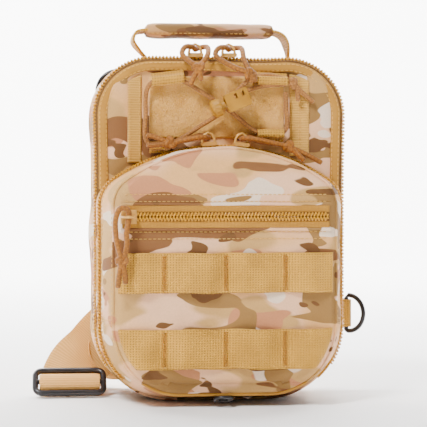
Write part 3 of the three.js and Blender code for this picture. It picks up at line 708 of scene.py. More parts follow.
POCKET_HALF, POCKET_LOW = 81, 3
ARC_CENTRE, ARC_RADIUS, CORNER_RADIUS, POCKET_BOTTOM_RADIUS = 36, 131, 20, 48
CORNER_X = POCKET_HALF - CORNER_RADIUS
CORNER_RISE = math.sqrt((ARC_RADIUS - CORNER_RADIUS) ** 2 - CORNER_X**2)
CORNER_TURN = math.atan2(CORNER_RISE, CORNER_X)
POCKET = Outline(
    [
        (POCKET_HALF - POCKET_BOTTOM_RADIUS, POCKET_LOW + POCKET_BOTTOM_RADIUS, POCKET_BOTTOM_RADIUS,
         -QUARTER, 0),
        (CORNER_X, ARC_CENTRE + CORNER_RISE, CORNER_RADIUS, 0, CORNER_TURN),
        (0, ARC_CENTRE, ARC_RADIUS, CORNER_TURN, math.pi - CORNER_TURN),
        (-CORNER_X, ARC_CENTRE + CORNER_RISE, CORNER_RADIUS, math.pi - CORNER_TURN, math.pi),
        (-POCKET_HALF + POCKET_BOTTOM_RADIUS, POCKET_LOW + POCKET_BOTTOM_RADIUS, POCKET_BOTTOM_RADIUS,
         math.pi, 3 * QUARTER),
    ],
    POCKET_LOW,
)
POCKET_BACK = node_box("pocket_rear_band")[1][1]
POCKET_FRONT = node_box("pocket_front_panel")[0][1]
POCKET_DEPTH = POCKET_BACK - POCKET_FRONT
FRONT_HALF = 70
POCKET_EDGE = 5
POCKET_TOP = ARC_CENTRE + ARC_RADIUS
POCKET_MIDDLE_Z = 86
SEAM_DEPTH = 33.6  # where the piped seam runs, forward from the pocket's back
TRAY_TOP = 16
ROLL_DEPTH, ROLL_BELOW = 12, 28
COVER_FRONT = node_box("cover_panel")[0][1]


def smooth_step(value, low, high):
    t = np.clip((value - low) / (high - low), 0, 1)
    return t * t * (3 - 2 * t)


def main_soft(points):
    """Slight sags and waves of the main body's sewn edge."""
    x, z = points[..., 0], points[..., 2]
    moved = points.copy()
    upper = smooth_step(z, 120, 225)
    moved[..., 0] += 0.9 * np.sin(z / 26.0 + 0.6) * (x / MAIN_HALF) * upper
    moved[..., 2] -= 0.9 * upper * np.exp(-((x - 24) / 18.0) ** 2) * (z > 200)
    return moved


def cover_y(x, z):
    """Front face of the cover's cloth: nearly flat in the middle, fuller towards the shoulders."""
    side = smooth_step(np.abs(x), 52, 64) * (1 - smooth_step(np.abs(x), 68, 77))
    p = xyz(x, 0, z)
    ripple = 0.35 * wobble(p, 34, 5)
    return COVER_FRONT - 0.1 - 2.6 * side * smooth_step(z, 130, 160) - ripple * smooth_step(74 - np.abs(x), 0, 12)


def pocket_surface(share, depth, puff=1.0):
    """The pocket's soft outer skin: share of the way round, and depth forward from its back, in millimetres."""
    share, depth = np.broadcast_arrays(np.asarray(share, float), np.asarray(depth, float))
    flat, normals = POCKET.at(share)
    t = depth / POCKET_DEPTH
    into_edge = np.maximum(0, POCKET_EDGE - (POCKET_DEPTH - depth))
    shrink = POCKET_EDGE - np.sqrt(np.maximum(POCKET_EDGE**2 - into_edge**2, 0))
    narrow = 1 - t * (1 - FRONT_HALF / POCKET_HALF)
    rise = (flat[..., 1] - POCKET_LOW) / (POCKET_TOP - POCKET_LOW)
    z = flat[..., 1] + t * (6 + (-2 - 6) * rise)
    low = np.maximum(0, 1 - z / ROLL_BELOW)
    x = flat[..., 0] * narrow * (1 - shrink / FRONT_HALF)
    y = POCKET_BACK - t * (POCKET_DEPTH - ROLL_DEPTH * low**2)
    z = POCKET_MIDDLE_Z + (z - POCKET_MIDDLE_Z) * (1 - shrink / POCKET_MIDDLE_Z)
    points = xyz(x, y, z)
    belly = np.sin(math.pi * np.clip((depth - 10) / (POCKET_DEPTH - 13), 0, 1))
    crease = wobble(points * [1, 0.5, 1], 17, 11)
    swell = puff * belly * (1.1 + 0.9 * crease) * smooth_step(z, 4, 40)
    points[..., 0] += normals[..., 0] * swell
    points[..., 2] += normals[..., 1] * swell * 0.6
    return points


def front_crown(x, z):
    across = np.clip(1 - np.abs(x / 66) ** 4, 0, 1)
    up = np.clip(1 - np.abs((z - POCKET_MIDDLE_Z) / 79) ** 4, 0, 1)
    return across * up


def front_y(x, z):
    """Front face of the pocket's cloth, with its crown and soft folds."""
    low = np.maximum(0, 1 - z / ROLL_BELOW)
    p = xyz(x, 0, z)
    crown = front_crown(x, z)
    fold = 0.9 * wobble(p * [1, 1, 0.8], 30, 21) * smooth_step(120 - z, 0, 20) + 0.35 * wobble(p, 12, 22)
    dents = -1.3 * np.exp(-(((x + 41) / 9) ** 2) - ((z - 66) / 10) ** 2)
    dents -= 1.2 * np.exp(-((x / 10) ** 2) - ((z - 60) / 9) ** 2)
    return POCKET_FRONT + ROLL_DEPTH * low**2 - crown * (1.7 + fold + dents)


# ---------------------------------------------------------------- cords
CORD_WIDE = 3.5
CORD_RADIUS = CORD_WIDE / 2
BUNGEE_WIDE = 3.0
PULLS = {
    "main_pull_left": {
        "knot": (-15, -25, 217.5),
        "leg_a": [(-16, -11, 230.5), (-18, -14.6, 231.8), (-23, -17.6, 231.6), (-25.4, -20.8, 227),
                  (-20.5, -23.8, 221.5), (-15, -25, 217.5), (-14, -25.5, 213), (-13.5, -26, 209.5)],
        "leg_b": [(-16, -11, 230.5), (-14.4, -7.4, 231.4), (-10, -7.8, 232.4), (-8, -12.8, 231.6),
                  (-8.6, -19.6, 226.5), (-15, -25, 217.5), (-18, -24.6, 212), (-20.5, -24, 206.5)],
    },
    "main_pull_right": {
        "knot": (18.5, -25, 213.8),
        "leg_a": [(6, -11, 230.5), (4, -14.6, 231.6), (-1, -17.6, 231), (-3.6, -20.6, 226.5),
                  (5.5, -23.8, 219.5), (18.5, -25, 213.8), (21, -25.6, 211), (21.5, -26.4, 209)],
        "leg_b": [(6, -11, 230.5), (7.6, -7.4, 231.4), (12, -7.8, 232), (14.4, -12.8, 231),
                  (15, -19.6, 224.5), (18.5, -25, 213.8), (19.5, -24.8, 210.4), (18.5, -24.6, 208.2)],
    },
    "pocket_pull_left": {
        "knot": (-33.5, -25, 169),
        "leg_a": [(-8.3, -20.5, 172.3), (-9.5, -24, 172.8), (-14.5, -26, 172.6), (-24, -26, 171),
                  (-33.5, -25, 169), (-39, -24.8, 171), (-44, -24.2, 173.2), (-48.5, -23.8, 174)],
        "leg_b": [(-8.3, -20.5, 172.3), (-9.4, -17.2, 173.2), (-13.5, -17, 174), (-19, -20, 172.6),
                  (-33.5, -25, 169), (-39, -25.4, 168.2), (-44, -25, 167.8), (-48.5, -24.6, 167.4)],
    },
    "pocket_pull_right": {
        "knot": (44, -25, 166.6),
        "leg_a": [(13.5, -20.5, 171.9), (14.8, -24, 172.3), (20, -26, 171.8), (32, -26, 169.4),
                  (44, -25, 166.6), (51, -24.8, 163.8), (58.5, -24.6, 160.2), (65.5, -24.4, 156.4)],
        "leg_b": [(13.5, -20.5, 171.9), (14.6, -17.2, 172.8), (18.4, -17, 173.2), (24, -20.4, 170.6),
                  (44, -25, 166.6), (48.5, -26, 162.6), (51.5, -26.6, 159.8), (53.5, -27, 157.6)],
    },
    "flat_pull": {
        "knot": (-66.5, -59.6, 94),
        "leg_a": [(-62, -57.2, 122), (-62.6, -57.6, 117.6), (-63.6, -58.8, 112), (-63.4, -59.6, 105),
                  (-64.4, -59.6, 99.5), (-66.5, -59.6, 94), (-68.2, -59.6, 86), (-69.2, -59.6, 78)],
        "leg_b": [(-62, -57.2, 122), (-62.6, -57.8, 126.2), (-67.4, -59.2, 127.4), (-70.4, -60, 121),
                  (-70, -60, 108), (-66.5, -59.6, 94), (-64.8, -59.6, 86.5), (-64.4, -59.6, 80.5)],
    },
}
BUNGEE_Y = (node_box("bungee")[0][1] + node_box("bungee")[1][1]) / 2
BUNGEE_ROUTE = [
    (-1, 187.6), (-12, 181), (-26, 172), (-35, 167.5), (-44, 167), (-48.6, 171), (-49, 188), (-48, 204),
    (-43, 209.5), (-26, 209.5), (-12, 202), (6, 190), (22, 177.5), (30, 174.8), (38.5, 174.8), (43, 179),
    (43.2, 190), (42.4, 202.5),
]
BUNGEE_KNOT = (47.5, BUNGEE_Y - 0.4, 208.5)
BUNGEE_ENDS = {
    "upper": [(9, BUNGEE_Y, 200.5), (13, BUNGEE_Y, 205.5), (21, BUNGEE_Y, 211.5), (31, BUNGEE_Y, 213.5),
              (40, BUNGEE_Y, 211.5), BUNGEE_KNOT, (53, BUNGEE_Y, 203), (61, BUNGEE_Y, 196)],
    "lower": [(15, BUNGEE_Y, 202.6), (22, BUNGEE_Y, 205), (31, BUNGEE_Y, 206.8), (40, BUNGEE_Y, 207.4),
              BUNGEE_KNOT, (50, BUNGEE_Y, 204), (51, BUNGEE_Y, 197)],
}


def overhand_knot(name, centre, size, radius, turn, material):
    """One strand pulled into a tight three-lobed knot."""
    t = np.linspace(0, 2 * math.pi, 72, endpoint=False)
    lobes = xyz(np.sin(t) + 2 * np.sin(2 * t), -np.sin(3 * t) * 1.1, np.cos(t) - 2 * np.cos(2 * t)) / 3
    c, s = math.cos(turn), math.sin(turn)
    lobes = lobes * size
    turned = xyz(lobes[:, 0] * c - lobes[:, 2] * s, lobes[:, 1], lobes[:, 0] * s + lobes[:, 2] * c)
    maker = Maker()
    maker.tube(turned + np.array(centre), radius, sides=10, closed=True)
    return maker.make(name, material)


def cord_piece(name, route, radius, material):
    line = even(smooth_line(route, 16 * (len(route) - 1)), radius * 0.6)
    radii = np.full(len(line), radius)
    radii[[0, -1]] *= 0.86
    maker = Maker()
    maker.tube(line, radii, sides=12)
    return maker.make(name, material), line


KNOT_TURN = {"main_pull_left": 0.3, "main_pull_right": -0.6, "pocket_pull_left": 1.2,
             "pocket_pull_right": 0.8, "flat_pull": 0.1}


def zipper_pulls():
    for name, pull in PULLS.items():
        route = pull["leg_a"][::-1] + pull["leg_b"][1:]
        piece, line = cord_piece(name + "_cord", route, CORD_RADIUS, PULL_CORD)
        place(piece, "pull_cord", name)
        size = (3.1, 2.0, 3.1)
        knot = overhand_knot(name + "_knot", pull["knot"], size, CORD_RADIUS * 0.94, KNOT_TURN[name], PULL_CORD)
        place(knot, "pull_cord", body=name)


def bungee_lacing():
    route = [(x, BUNGEE_Y, z) for x, z in BUNGEE_ROUTE]
    lace, _ = cord_piece("bungee_lacing", route, BUNGEE_WIDE / 2, BUNGEE)
    place(lace, "bungee_cord", "bungee")
    knot = overhand_knot("bungee_knot", BUNGEE_KNOT, (2.2, 1.5, 3.4), BUNGEE_WIDE / 2 * 0.95, 0.3, BUNGEE)
    place(knot, "bungee_cord", body="cover")
    for side, points in BUNGEE_ENDS.items():
        piece, line = cord_piece("bungee_end_" + side, points, BUNGEE_WIDE / 2, BUNGEE)
        place(piece, "bungee_cord", "bungee_ends")


# ---------------------------------------------------------------- main compartment
def spread(rows, columns):
    return np.meshgrid(np.linspace(0, 1, rows), np.linspace(0, 1, columns), indexing="ij")


def outline_sheet(shares, profile, outline=MAIN):
    """A grid round an outline. profile is a list of (inset, y) across the band."""
    insets = np.array([p[0] for p in profile])
    depths = np.array([p[1] for p in profile])
    share, inset = np.meshgrid(shares, insets, indexing="ij")
    flat, normals = outline.at(share, inset)
    points = xyz(flat[..., 0], np.broadcast_to(depths, share.shape), flat[..., 1])
    run = share * outline.length
    across = np.concatenate([[0], np.cumsum(np.hypot(np.diff(insets), np.diff(depths)))])
    weave = np.stack([run, np.broadcast_to(across, share.shape)], -1)
    return points, xyz(normals[..., 0], 0 * share, normals[..., 1]), weave


def outline_line(shares, inset, y, outline=MAIN):
    points, normals, _ = outline_sheet(shares, [(inset, y), (inset, y)], outline)
    return points[:, 0], normals[:, 0]


OPEN_FROM = MAIN.share_at(ZIP_FLOOR)
ABOVE_ZIP_FLOOR = np.linspace(OPEN_FROM, 1 - OPEN_FROM, 420)


def main_gusset():
    shares = np.linspace(0, 1, 361)
    depths = np.linspace(MAIN_FRONT, MAIN_BACK + 0.1, 26)
    points, normals, weave = outline_sheet(shares, [(0.5, y) for y in depths])
    t = (depths - depths[0]) / (depths[-1] - depths[0])
    z = points[..., 2]
    fold = wobble(points * [1, 0.35, 1], 26, 31) + 0.5 * wobble(points * [1, 1, 0.6], 13, 32)
    puff = np.sin(math.pi * t) ** 0.8 * (1.5 + 1.3 * fold) * smooth_step(z, 2, 30)
    points = main_soft(points + normals * puff[..., None])
    points[..., 2] = np.maximum(points[..., 2], 0.15)
    maker = Maker()
    maker.grid(points, weave)
    piece = shell(maker, "main_gusset_fabric", CAMO, LINING, centre=(0, 17, 112))
    return place(piece, "camo_fabric", "main_gusset")


def main_zip(front):
    """Tape and coil of one half of the main zipper; the tape is painted dark, as painted shade round the coil."""
    seam = (node_box("main_zip_front")[1][1] + node_box("main_zip_rear")[0][1]) / 2
    if front:
        edge = COVER_FRONT
        profile = [(0.9, seam - 0.1), (0.8, seam - 1.2), (1.1, edge - 0.5), (2.0, edge - 1.0), (3.4, edge - 0.9),
                   (5.2, edge - 0.4)]
        at, half = seam - 1.35, "front"
    else:
        profile = [(0.9, seam + 0.1), (0.7, seam + 1.4), (0.6, MAIN_FRONT + 1.8)]
        at, half = seam + 0.95, "rear"
    points, _, weave = outline_sheet(ABOVE_ZIP_FLOOR, profile)
    maker = Maker()
    maker.grid(main_soft(points), weave)
    tape = thicken(maker.make(f"main_zip_{half}_tape", COIL_SHADE), 0.6)
    place(tape, "zipper_coil", f"main_zip_{half}")
    line, outward = outline_line(ABOVE_ZIP_FLOOR, 0.15, at)
    maker = Maker()
    coil(maker, main_soft(line), outward, REARWARDS, 1.0, 1.15, 2.3, 0.52, handed=1 if front else -1)
    teeth = maker.make(f"main_zip_{half}_coil", COIL)
    return place(teeth, "zipper_coil", body=BODY_OF[f"main_zip_{half}"])


def disc_sheet(edge, centre, rings):
    """Rings from a closed edge in to a centre point, in XZ; y is filled in by the caller."""
    r = 1 - np.linspace(0, 1, rings + 1)[:, None, None] ** 0.9
    return np.array(centre) + (edge[None] - np.array(centre)) * r


def cover_panel():
    shares = np.linspace(0, 1, 321)
    edge, _ = MAIN.at(shares, 3.4)
    flat = disc_sheet(edge, (0, 150), 40)
    x, z = flat[..., 0], flat[..., 1]
    points = xyz(x, cover_y(x, z), z)
    maker = Maker()
    maker.grid(main_soft(points))
    return place(shell(maker, "cover_cloth", CAMO, LINING, out=FRONTWARDS), "camo_fabric", "cover_panel")


def cover_binding():
    """The folded tape sewn inside the zipper, with its two rows of stitches."""
    start = MAIN.share_at(139)
    shares = np.linspace(start, 1 - start, 260)
    front = COVER_FRONT
    profile = [(2.4, front - 0.2), (2.4, front - 1.3), (3.0, front - 2.2), (4.6, front - 2.6), (7.0, front - 2.4),
               (8.2, front - 1.8), (8.6, front - 0.9), (8.6, front + 0.2)]
    points, _, weave = outline_sheet(shares, profile)
    ripple = 0.35 * wobble(points, 15, 41)
    points[..., 1] -= ripple * np.array([0, 0.5, 1, 1, 1, 1, 0.5, 0])
    maker = Maker()
    maker.grid(main_soft(points), weave)
    piece = place(maker.make("cover_binding_tape", BINDING), "binding_tape", "cover_binding")
    maker = Maker()
    for inset in (3.6, 7.8):
        line, _ = outline_line(shares, inset, front - (2.45 if inset < 7 else 2.15))
        stitches(maker, main_soft(line), FRONTWARDS, 3.0, 0.7, 0.24)
    place(maker.make("cover_binding_stitches", THREAD), "binding_tape", body="cover")
    return piece


def back_panel():
    """Padded back: soft outside face and flat inside face, closed at the rim; every face takes the first material."""
    low, high = node_box("back_panel")
    shares = np.linspace(0, 1, 321)
    edge, _ = MAIN.at(shares, 1.2)
    flat = disc_sheet(edge, (0, 112), 44)
    x, z = flat[..., 0], flat[..., 1]
    centre_rise = disc_rise(flat)
    soft = 0.5 * wobble(xyz(x, 0, z), 24, 51)
    rear_y = low[1] + 1.6 + (high[1] - low[1] - 1.4) * centre_rise + soft * centre_rise
    rear = xyz(x, rear_y, z)
    inner = xyz(x, 0 * x + low[1] + 0.1, z)
    bulge, _ = MAIN.at(shares, 0.3)
    rim = xyz(bulge[:, 0], 0 * shares + low[1] + 0.8, bulge[:, 1])[None]
    points = np.concatenate([rear[::-1], rim, inner], 0)
    points[..., 2] = np.maximum(points[..., 2], 0.15)
    maker = Maker()
    maker.grid(main_soft(points))
    piece = place(maker.make("back_panel_padded", CAMO, LINING), "camo_fabric", "back_panel")
    piping = Maker()
    line, _ = outline_line(np.linspace(0, 1, 321), 0.4, low[1] - 0.1)
    line = main_soft(line)
    line[:, 2] = np.maximum(line[:, 2], 1.3)
    piping.tube(line, 1.25, sides=10)
    place(piping.make("back_seam_piping", BINDING), "binding_tape", body="bag_body")
    return piece


def disc_rise(flat):
    """0 at a sheet's edge, rising to 1 within its first ring or so."""
    rings = flat.shape[0]
    share = np.linspace(0, 1, rings)[:, None] * np.ones(flat.shape[1])
    return smooth_step(share, 0.0, 0.14)


def inner_sleeve():
    low, high = node_box("inner_sleeve")
    v, u = spread(40, 48)
    z = low[2] + 0.6 + (high[2] - low[2] - 0.6) * v
    half = width_of(MAIN, 3.6)(z)
    x = (2 * u - 1) * half
    slack = 2.4 * np.sin(math.pi * u) * smooth_step(v, 0.2, 1.0) + 0.8 * wobble(xyz(x, 0, z), 32, 61)
    y = high[1] - 0.6 - slack * np.clip(4 * (1 - np.abs(2 * u - 1)), 0, 1)
    maker = Maker()
    maker.grid(xyz(x, y, z))
    piece = shell(maker, "inner_sleeve_cloth", LINING, out=FRONTWARDS, thickness=0.7)
    place(piece, "lining_fabric", "inner_sleeve")
    top = xyz(x[-1], y[-1], z[-1])
    keep = np.abs(top[:, 0]) < node_box("sleeve_binding")[1][0]
    maker = Maker()
    line = top[keep] + [0, 0, 0.6]
    ribbon(maker, even(line, 2.0), np.tile([0, 0.08, 1.0], (len(even(line, 2.0)), 1)), 5.0, 2.4)
    place(maker.make("sleeve_binding_tape", BINDING), "binding_tape", "sleeve_binding")


def width_of(outline, inset):
    """Half width of an outline at any height."""
    shares = np.linspace(0, 0.5, 800)
    flat, _ = outline.at(shares, inset)
    order = np.argsort(flat[:, 1])
    return lambda z: np.interp(z, flat[order, 1], flat[order, 0])


# ---------------------------------------------------------------- trims above the pocket
def patch(maker, x0, x1, z0, z1, y_at, lift, nx=40, nz=24, edge=0.9):
    """A rectangle of cloth lying on a surface; its edges turn down to it."""
    v, u = spread(nz, nx)
    x, z = x0 + (x1 - x0) * u, z0 + (z1 - z0) * v
    near = np.minimum(from_edges(x, x0, x1), from_edges(z, z0, z1))
    round_edge = np.sqrt(np.clip(near / edge, 0, 1))
    y = y_at(x, z) - lift * round_edge
    maker.grid(xyz(x, y, z), np.stack([x, z], -1))
    return maker


def loop_panel():
    low, high = node_box("loop_panel")
    lift = 1.3
    maker = Maker()
    y_at = lambda x, z: cover_y(x, z) - 0.35 * wobble(xyz(x, 0, z), 22, 71)
    patch(maker, low[0], high[0], low[2], high[2], y_at, lift, 90, 42, edge=1.4)
    place(shell(maker, "loop_panel_base", LOOP, out=FRONTWARDS, thickness=0.5), "loop_fabric", "loop_panel")
    fuzz = Maker()
    random = np.random.RandomState(3)
    for _ in range(3600):
        x = random.uniform(low[0] + 0.8, high[0] - 0.8)
        z = random.uniform(low[2] + 0.8, high[2] - 0.8)
        y = float(y_at(np.array(x), np.array(z))) - lift
        turn = random.uniform(0, 2 * math.pi)
        reach = random.uniform(0.35, 0.8)
        way = np.array([math.cos(turn), 0, math.sin(turn)]) * reach
        root = np.array([x, y + 0.1, z])
        tip = random.uniform(0.35, 0.75)
        hoop = np.array([root, root + way * 0.4 + [0, -tip, 0], root + way + [0, -tip * 0.7, 0], root + way * 1.5])
        fuzz.tube(hoop, [0.12, 0.09, 0.09, 0.05], sides=3)
    place(fuzz.make("loop_panel_pile", LOOP), "loop_fabric", body="cover")
    edge = Maker()
    for z in (low[2] + 1.6, high[2] - 1.6):
        x = np.linspace(low[0] + 1.5, high[0] - 1.5, 60)
        line = xyz(x, y_at(x, 0 * x + z) - lift, 0 * x + z)
        stitches(edge, line, FRONTWARDS, 2.8, 0.7, 0.26, lift=0.15)
    place(edge.make("loop_panel_stitches", THREAD), "loop_fabric", body="cover")


def side_strips():
    """The two upright webbing strips, with rows of stitches up each side."""
    thread_maker = Maker()
    for node in ("strip_left", "strip_right"):
        low, high = node_box(node)
        maker = Maker()
        v, u = spread(60, 16)
        x = low[0] + (high[0] - low[0]) * u
        top = high[2]
        limit = np.array([float(np.interp(abs(a), *reverse_width(10.4))) for a in x[0]])
        z = low[2] + (np.minimum(limit, top)[None] - low[2]) * v
        near = from_edges(x, low[0], high[0])
        y = cover_y(x, z) - 1.3 * np.sqrt(np.clip(near / 0.8, 0, 1)) - 0.25 * wobble(xyz(x, 0, z), 16, 81)
        maker.grid(xyz(x, y, z), np.stack([z, x], -1))
        place(shell(maker, node + "_webbing", STRIP_WEB, out=FRONTWARDS, thickness=0.5), "tan_webbing", node)
        columns = (1.6,) if node == "strip_left" else (1.5, 6.0)
        for side in (0, 1):
            for inset in columns:
                at = low[0] + inset if side == 0 else high[0] - inset
                height = np.linspace(low[2] + 2, float(np.interp(abs(at), *reverse_width(11.5))), 40)
                line = xyz(0 * height + at, cover_y(0 * height + at, height) - 1.35, height)
                stitches(thread_maker, line, FRONTWARDS, 2.6, 0.55, 0.22)
    place(thread_maker.make("strip_stitches", THREAD), "tan_webbing", body="cover")


def reverse_width(inset):
    """Height of the main outline's top edge over |x|, as two lists for np.interp."""
    shares = np.linspace(0.25, 0.5, 500)
    flat, _ = MAIN.at(shares, inset)
    upper = flat[:, 1] > 120
    x, z = flat[upper, 0], flat[upper, 1]
    order = np.argsort(x)
    return x[order], z[order]


def bungee_tabs():
    """Short webbing loops that the elastic cord runs through."""
    thread_maker = Maker()
    for node in ("tab_upper_left", "tab_upper_right", "tab_lower_left", "tab_lower_right"):
        low, high = node_box(node)
        upper = "upper" in node
        middle = (low[2] + high[2]) / 2
        height = high[2] - low[2]
        # A loop seen from its side: down the cloth, round the cord and back.
        y0 = COVER_FRONT - 1.5
        y1 = BUNGEE_Y - BUNGEE_WIDE / 2 - 0.9
        wrap_z = middle
        foot = high[2] + 0.6 if upper else low[2] - 0.6
        sign = 1 if upper else -1
        profile = [
            (y0, foot), (y0 - 0.7, foot - sign * 0.4), (y0 - 2.2, middle + sign * height * 0.36),
            (y1 - 0.1, wrap_z + sign * 1.2), (y1 - 0.2, wrap_z - sign * 0.6),
            (y1 + 1.2, wrap_z - sign * 2.6), (BUNGEE_Y + 0.6, wrap_z - sign * 2.9), (y0 - 0.2, wrap_z - sign * 1.4),
            (y0 - 0.1, wrap_z + sign * 0.6),
        ]
        slant = {"tab_upper_left": 0.10, "tab_upper_right": -0.05}.get(node, 0.0)
        section = smooth_line([(0, y, z) for y, z in profile], 40)
        u = np.linspace(0, 1, 22)
        x = low[0] + (high[0] - low[0]) * u
        grid = np.zeros((len(section), len(u), 3))
        grid[..., 0] = x[None]
        grid[..., 1] = section[:, None, 1]
        grid[..., 2] = section[:, None, 2] + (x - x.mean())[None] * slant
        grid[..., 2] += 0.25 * wobble(grid, 10, 91)
        run = along(section)
        weave = np.stack([np.broadcast_to(x, grid.shape[:2]), np.broadcast_to(run[:, None], grid.shape[:2])], -1)
        maker = Maker()
        maker.grid(grid, weave)
        piece = thicken(maker.make(node + "_loop", WEBBING), 1.0, offset=0.0)
        place(piece, "tan_webbing", node)
        line = xyz(x, 0 * x + y0 - 1.15, 0 * x + foot - sign * 1.0 + (x - x.mean()) * slant)
        stitches(thread_maker, line, FRONTWARDS, 2.2, 0.7, 0.22, lift=0.3)
    place(thread_maker.make("tab_stitches", THREAD), "tan_webbing", body="cover")


# ---------------------------------------------------------------- hard parts kept from CAD shapes
def softened(name, node, material, slot, width=0.4, segments=3):
    """A CAD part with its edges rounded off."""
    piece = NODES[node].copy()
    piece.data = NODES[node].data.copy()
    piece.name = name
    piece.data.name = name
    piece.parent = None
    piece.matrix_world = Matrix.Identity(4)
    bpy.context.collection.objects.link(piece)
    piece.data.materials.clear()
    piece.data.materials.append(material)
    mesh = bmesh.new()
    mesh.from_mesh(piece.data)
    bmesh.ops.remove_doubles(mesh, verts=mesh.verts, dist=0.00001)
    bmesh.ops.dissolve_limit(mesh, angle_limit=math.radians(4), verts=mesh.verts, edges=mesh.edges)
    mesh.to_mesh(piece.data)
    mesh.free()
    bevel = piece.modifiers.new("rounding", "BEVEL")
    bevel.width = width * MM
    bevel.segments = segments
    bevel.limit_method = "ANGLE"
    bevel.angle_limit = math.radians(38)
    bevel.harden_normals = False
    piece.data.polygons.foreach_set("use_smooth", [True] * len(piece.data.polygons))
    piece.data.set_sharp_from_angle(angle=math.radians(38))
    piece.hide_render = False
    piece.hide_viewport = False
    return place(piece, slot, node)


def hard_parts():
    softened("cord_lock_housing", "cord_lock_body", TAN_PLASTIC, "tan_plastic", 0.7, 4)
    softened("drain_eyelet", "drain_grommet", BLACK_METAL, "black_metal", 0.45, 3)
    for node in ("main_slider_left", "main_slider_right", "pocket_slider_left", "pocket_slider_right", "flat_slider"):
        softened(node + "_body", node, SLIDER_METAL, "slider_metal", 0.45, 3)


# ---------------------------------------------------------------- front pocket
POCKET_CENTRE = (0, -25, 86)
SHARES = np.linspace(0, 1, 480, endpoint=False)
IN_TRAY = lambda centre: centre[:, 2] < TRAY_TOP
ABOVE_TRAY = lambda centre: centre[:, 2] >= TRAY_TOP


def on_pocket(piece, slot, *nodes):
    """A piece sewn on the pocket: its place is baked into its mesh, and the CAD nodes it stands for are hidden."""
    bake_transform(piece)
    if nodes:
        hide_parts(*nodes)
    return piece


def in_tray(piece, slot, *nodes):
    """A piece at the pocket's foot rides on the cover, with a mesh of its own."""
    place(piece, slot, *nodes, body="cover")
    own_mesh(piece)
    return piece


def pocket_side(maker, depths, puff=1.0):
    share, depth = np.meshgrid(SHARES, depths)
    points = pocket_surface(share, depth, puff)
    weave = np.stack([share * POCKET.length, depth], -1)
    return maker.grid(points, weave, wrap_columns=True)


def pocket_normals(share):
    _, normals = POCKET.at(share)
    return xyz(normals[..., 0], 0 * share, normals[..., 1])


def pocket_face(maker):
    """The front: round the sewn edge, then in rings to the middle."""
    rounding = POCKET_DEPTH - 2.2 * (1 - np.linspace(0.1, 1, 8) ** 0.7)
    edge_depths = np.concatenate([np.linspace(SEAM_DEPTH, 35, 4), rounding])
    share, depth = np.meshgrid(SHARES, edge_depths)
    edge = pocket_surface(share, depth)
    rim = edge[-1]
    size = 1 - np.linspace(0, 1, 47)[1:, None] ** 0.92
    x = rim[None, :, 0] * size
    z = POCKET_MIDDLE_Z + (rim[None, :, 2] - POCKET_MIDDLE_Z) * size
    settle = smooth_step(1 - size, 0, 0.06)
    y = rim[None, :, 1] * (1 - settle) + front_y(x, z) * settle
    points = np.concatenate([edge, xyz(x, y, z)], 0)
    return maker.grid(points, wrap_columns=True)


RIM = pocket_surface(SHARES, POCKET_DEPTH)


def rim_half(z):
    """Half width of the pocket's flat front at a height."""
    right = RIM[RIM[:, 0] > 0]
    order = np.argsort(right[:, 2])
    low = right[order]
    return np.interp(z, low[:, 2], low[:, 0])


def face_y(x, z):
    """The pocket's front, following its rounded side edges."""
    beyond = np.clip(np.abs(x) - rim_half(z) - 0.4, 0, POCKET_EDGE * 0.96)
    return front_y(x, z) + POCKET_EDGE - np.sqrt(POCKET_EDGE**2 - beyond**2)


def pocket_shell():
    gusset = pocket_side(Maker(), np.linspace(10.7, SEAM_DEPTH + 0.3, 26)).keep(ABOVE_TRAY)
    piece = shell(gusset, "pocket_gusset_fabric", CAMO, LINING, centre=POCKET_CENTRE)
    on_pocket(piece, "camo_fabric", "pocket_gusset")
    front = pocket_face(Maker()).keep(ABOVE_TRAY)
    piece = shell(front, "pocket_front_fabric", CAMO, LINING, out=FRONTWARDS)
    on_pocket(piece, "camo_fabric", "pocket_front_panel")
    rear = pocket_side(Maker(), np.linspace(0, 4.3, 6), puff=0).keep(ABOVE_TRAY)
    place(shell(rear, "pocket_rear_fabric", CAMO, LINING, centre=POCKET_CENTRE), "camo_fabric", "pocket_rear_band")
    tray = pocket_side(Maker(), np.linspace(0, SEAM_DEPTH + 0.3, 36)).keep(IN_TRAY)
    in_tray(shell(tray, "pocket_tray_side", CAMO, LINING, centre=POCKET_CENTRE), "camo_fabric", "pocket_tray")
    foot = pocket_face(Maker()).keep(IN_TRAY)
    in_tray(shell(foot, "pocket_tray_front", CAMO, LINING, out=FRONTWARDS), "camo_fabric")
    seam = pocket_surface(SHARES, SEAM_DEPTH) + 0.5 * pocket_normals(SHARES)
    for name, keep, fix in (("upper", ABOVE_TRAY, on_pocket), ("lower", IN_TRAY, in_tray)):
        piping = Maker()
        loop = np.vstack([seam, seam[:1]])
        piping.tube(loop, 0.8 if name == "upper" else 1.1, sides=10)
        piping.faces = [f for f in piping.faces if len(f) == 4]
        piping.keep(keep)
        fix(piping.make("pocket_piping_" + name, CAMO if name == "upper" else BINDING), "binding_tape")


def moved_in(maker, x_share, back, up):
    """Draws a skin inwards: narrower, further back, and higher near its foot."""
    for points in maker.points:
        points[:, 0] *= x_share
        points[:, 1] += back
        points[:, 2] += up * np.clip(1 - points[:, 2] / 31, 0, 1)
    return maker


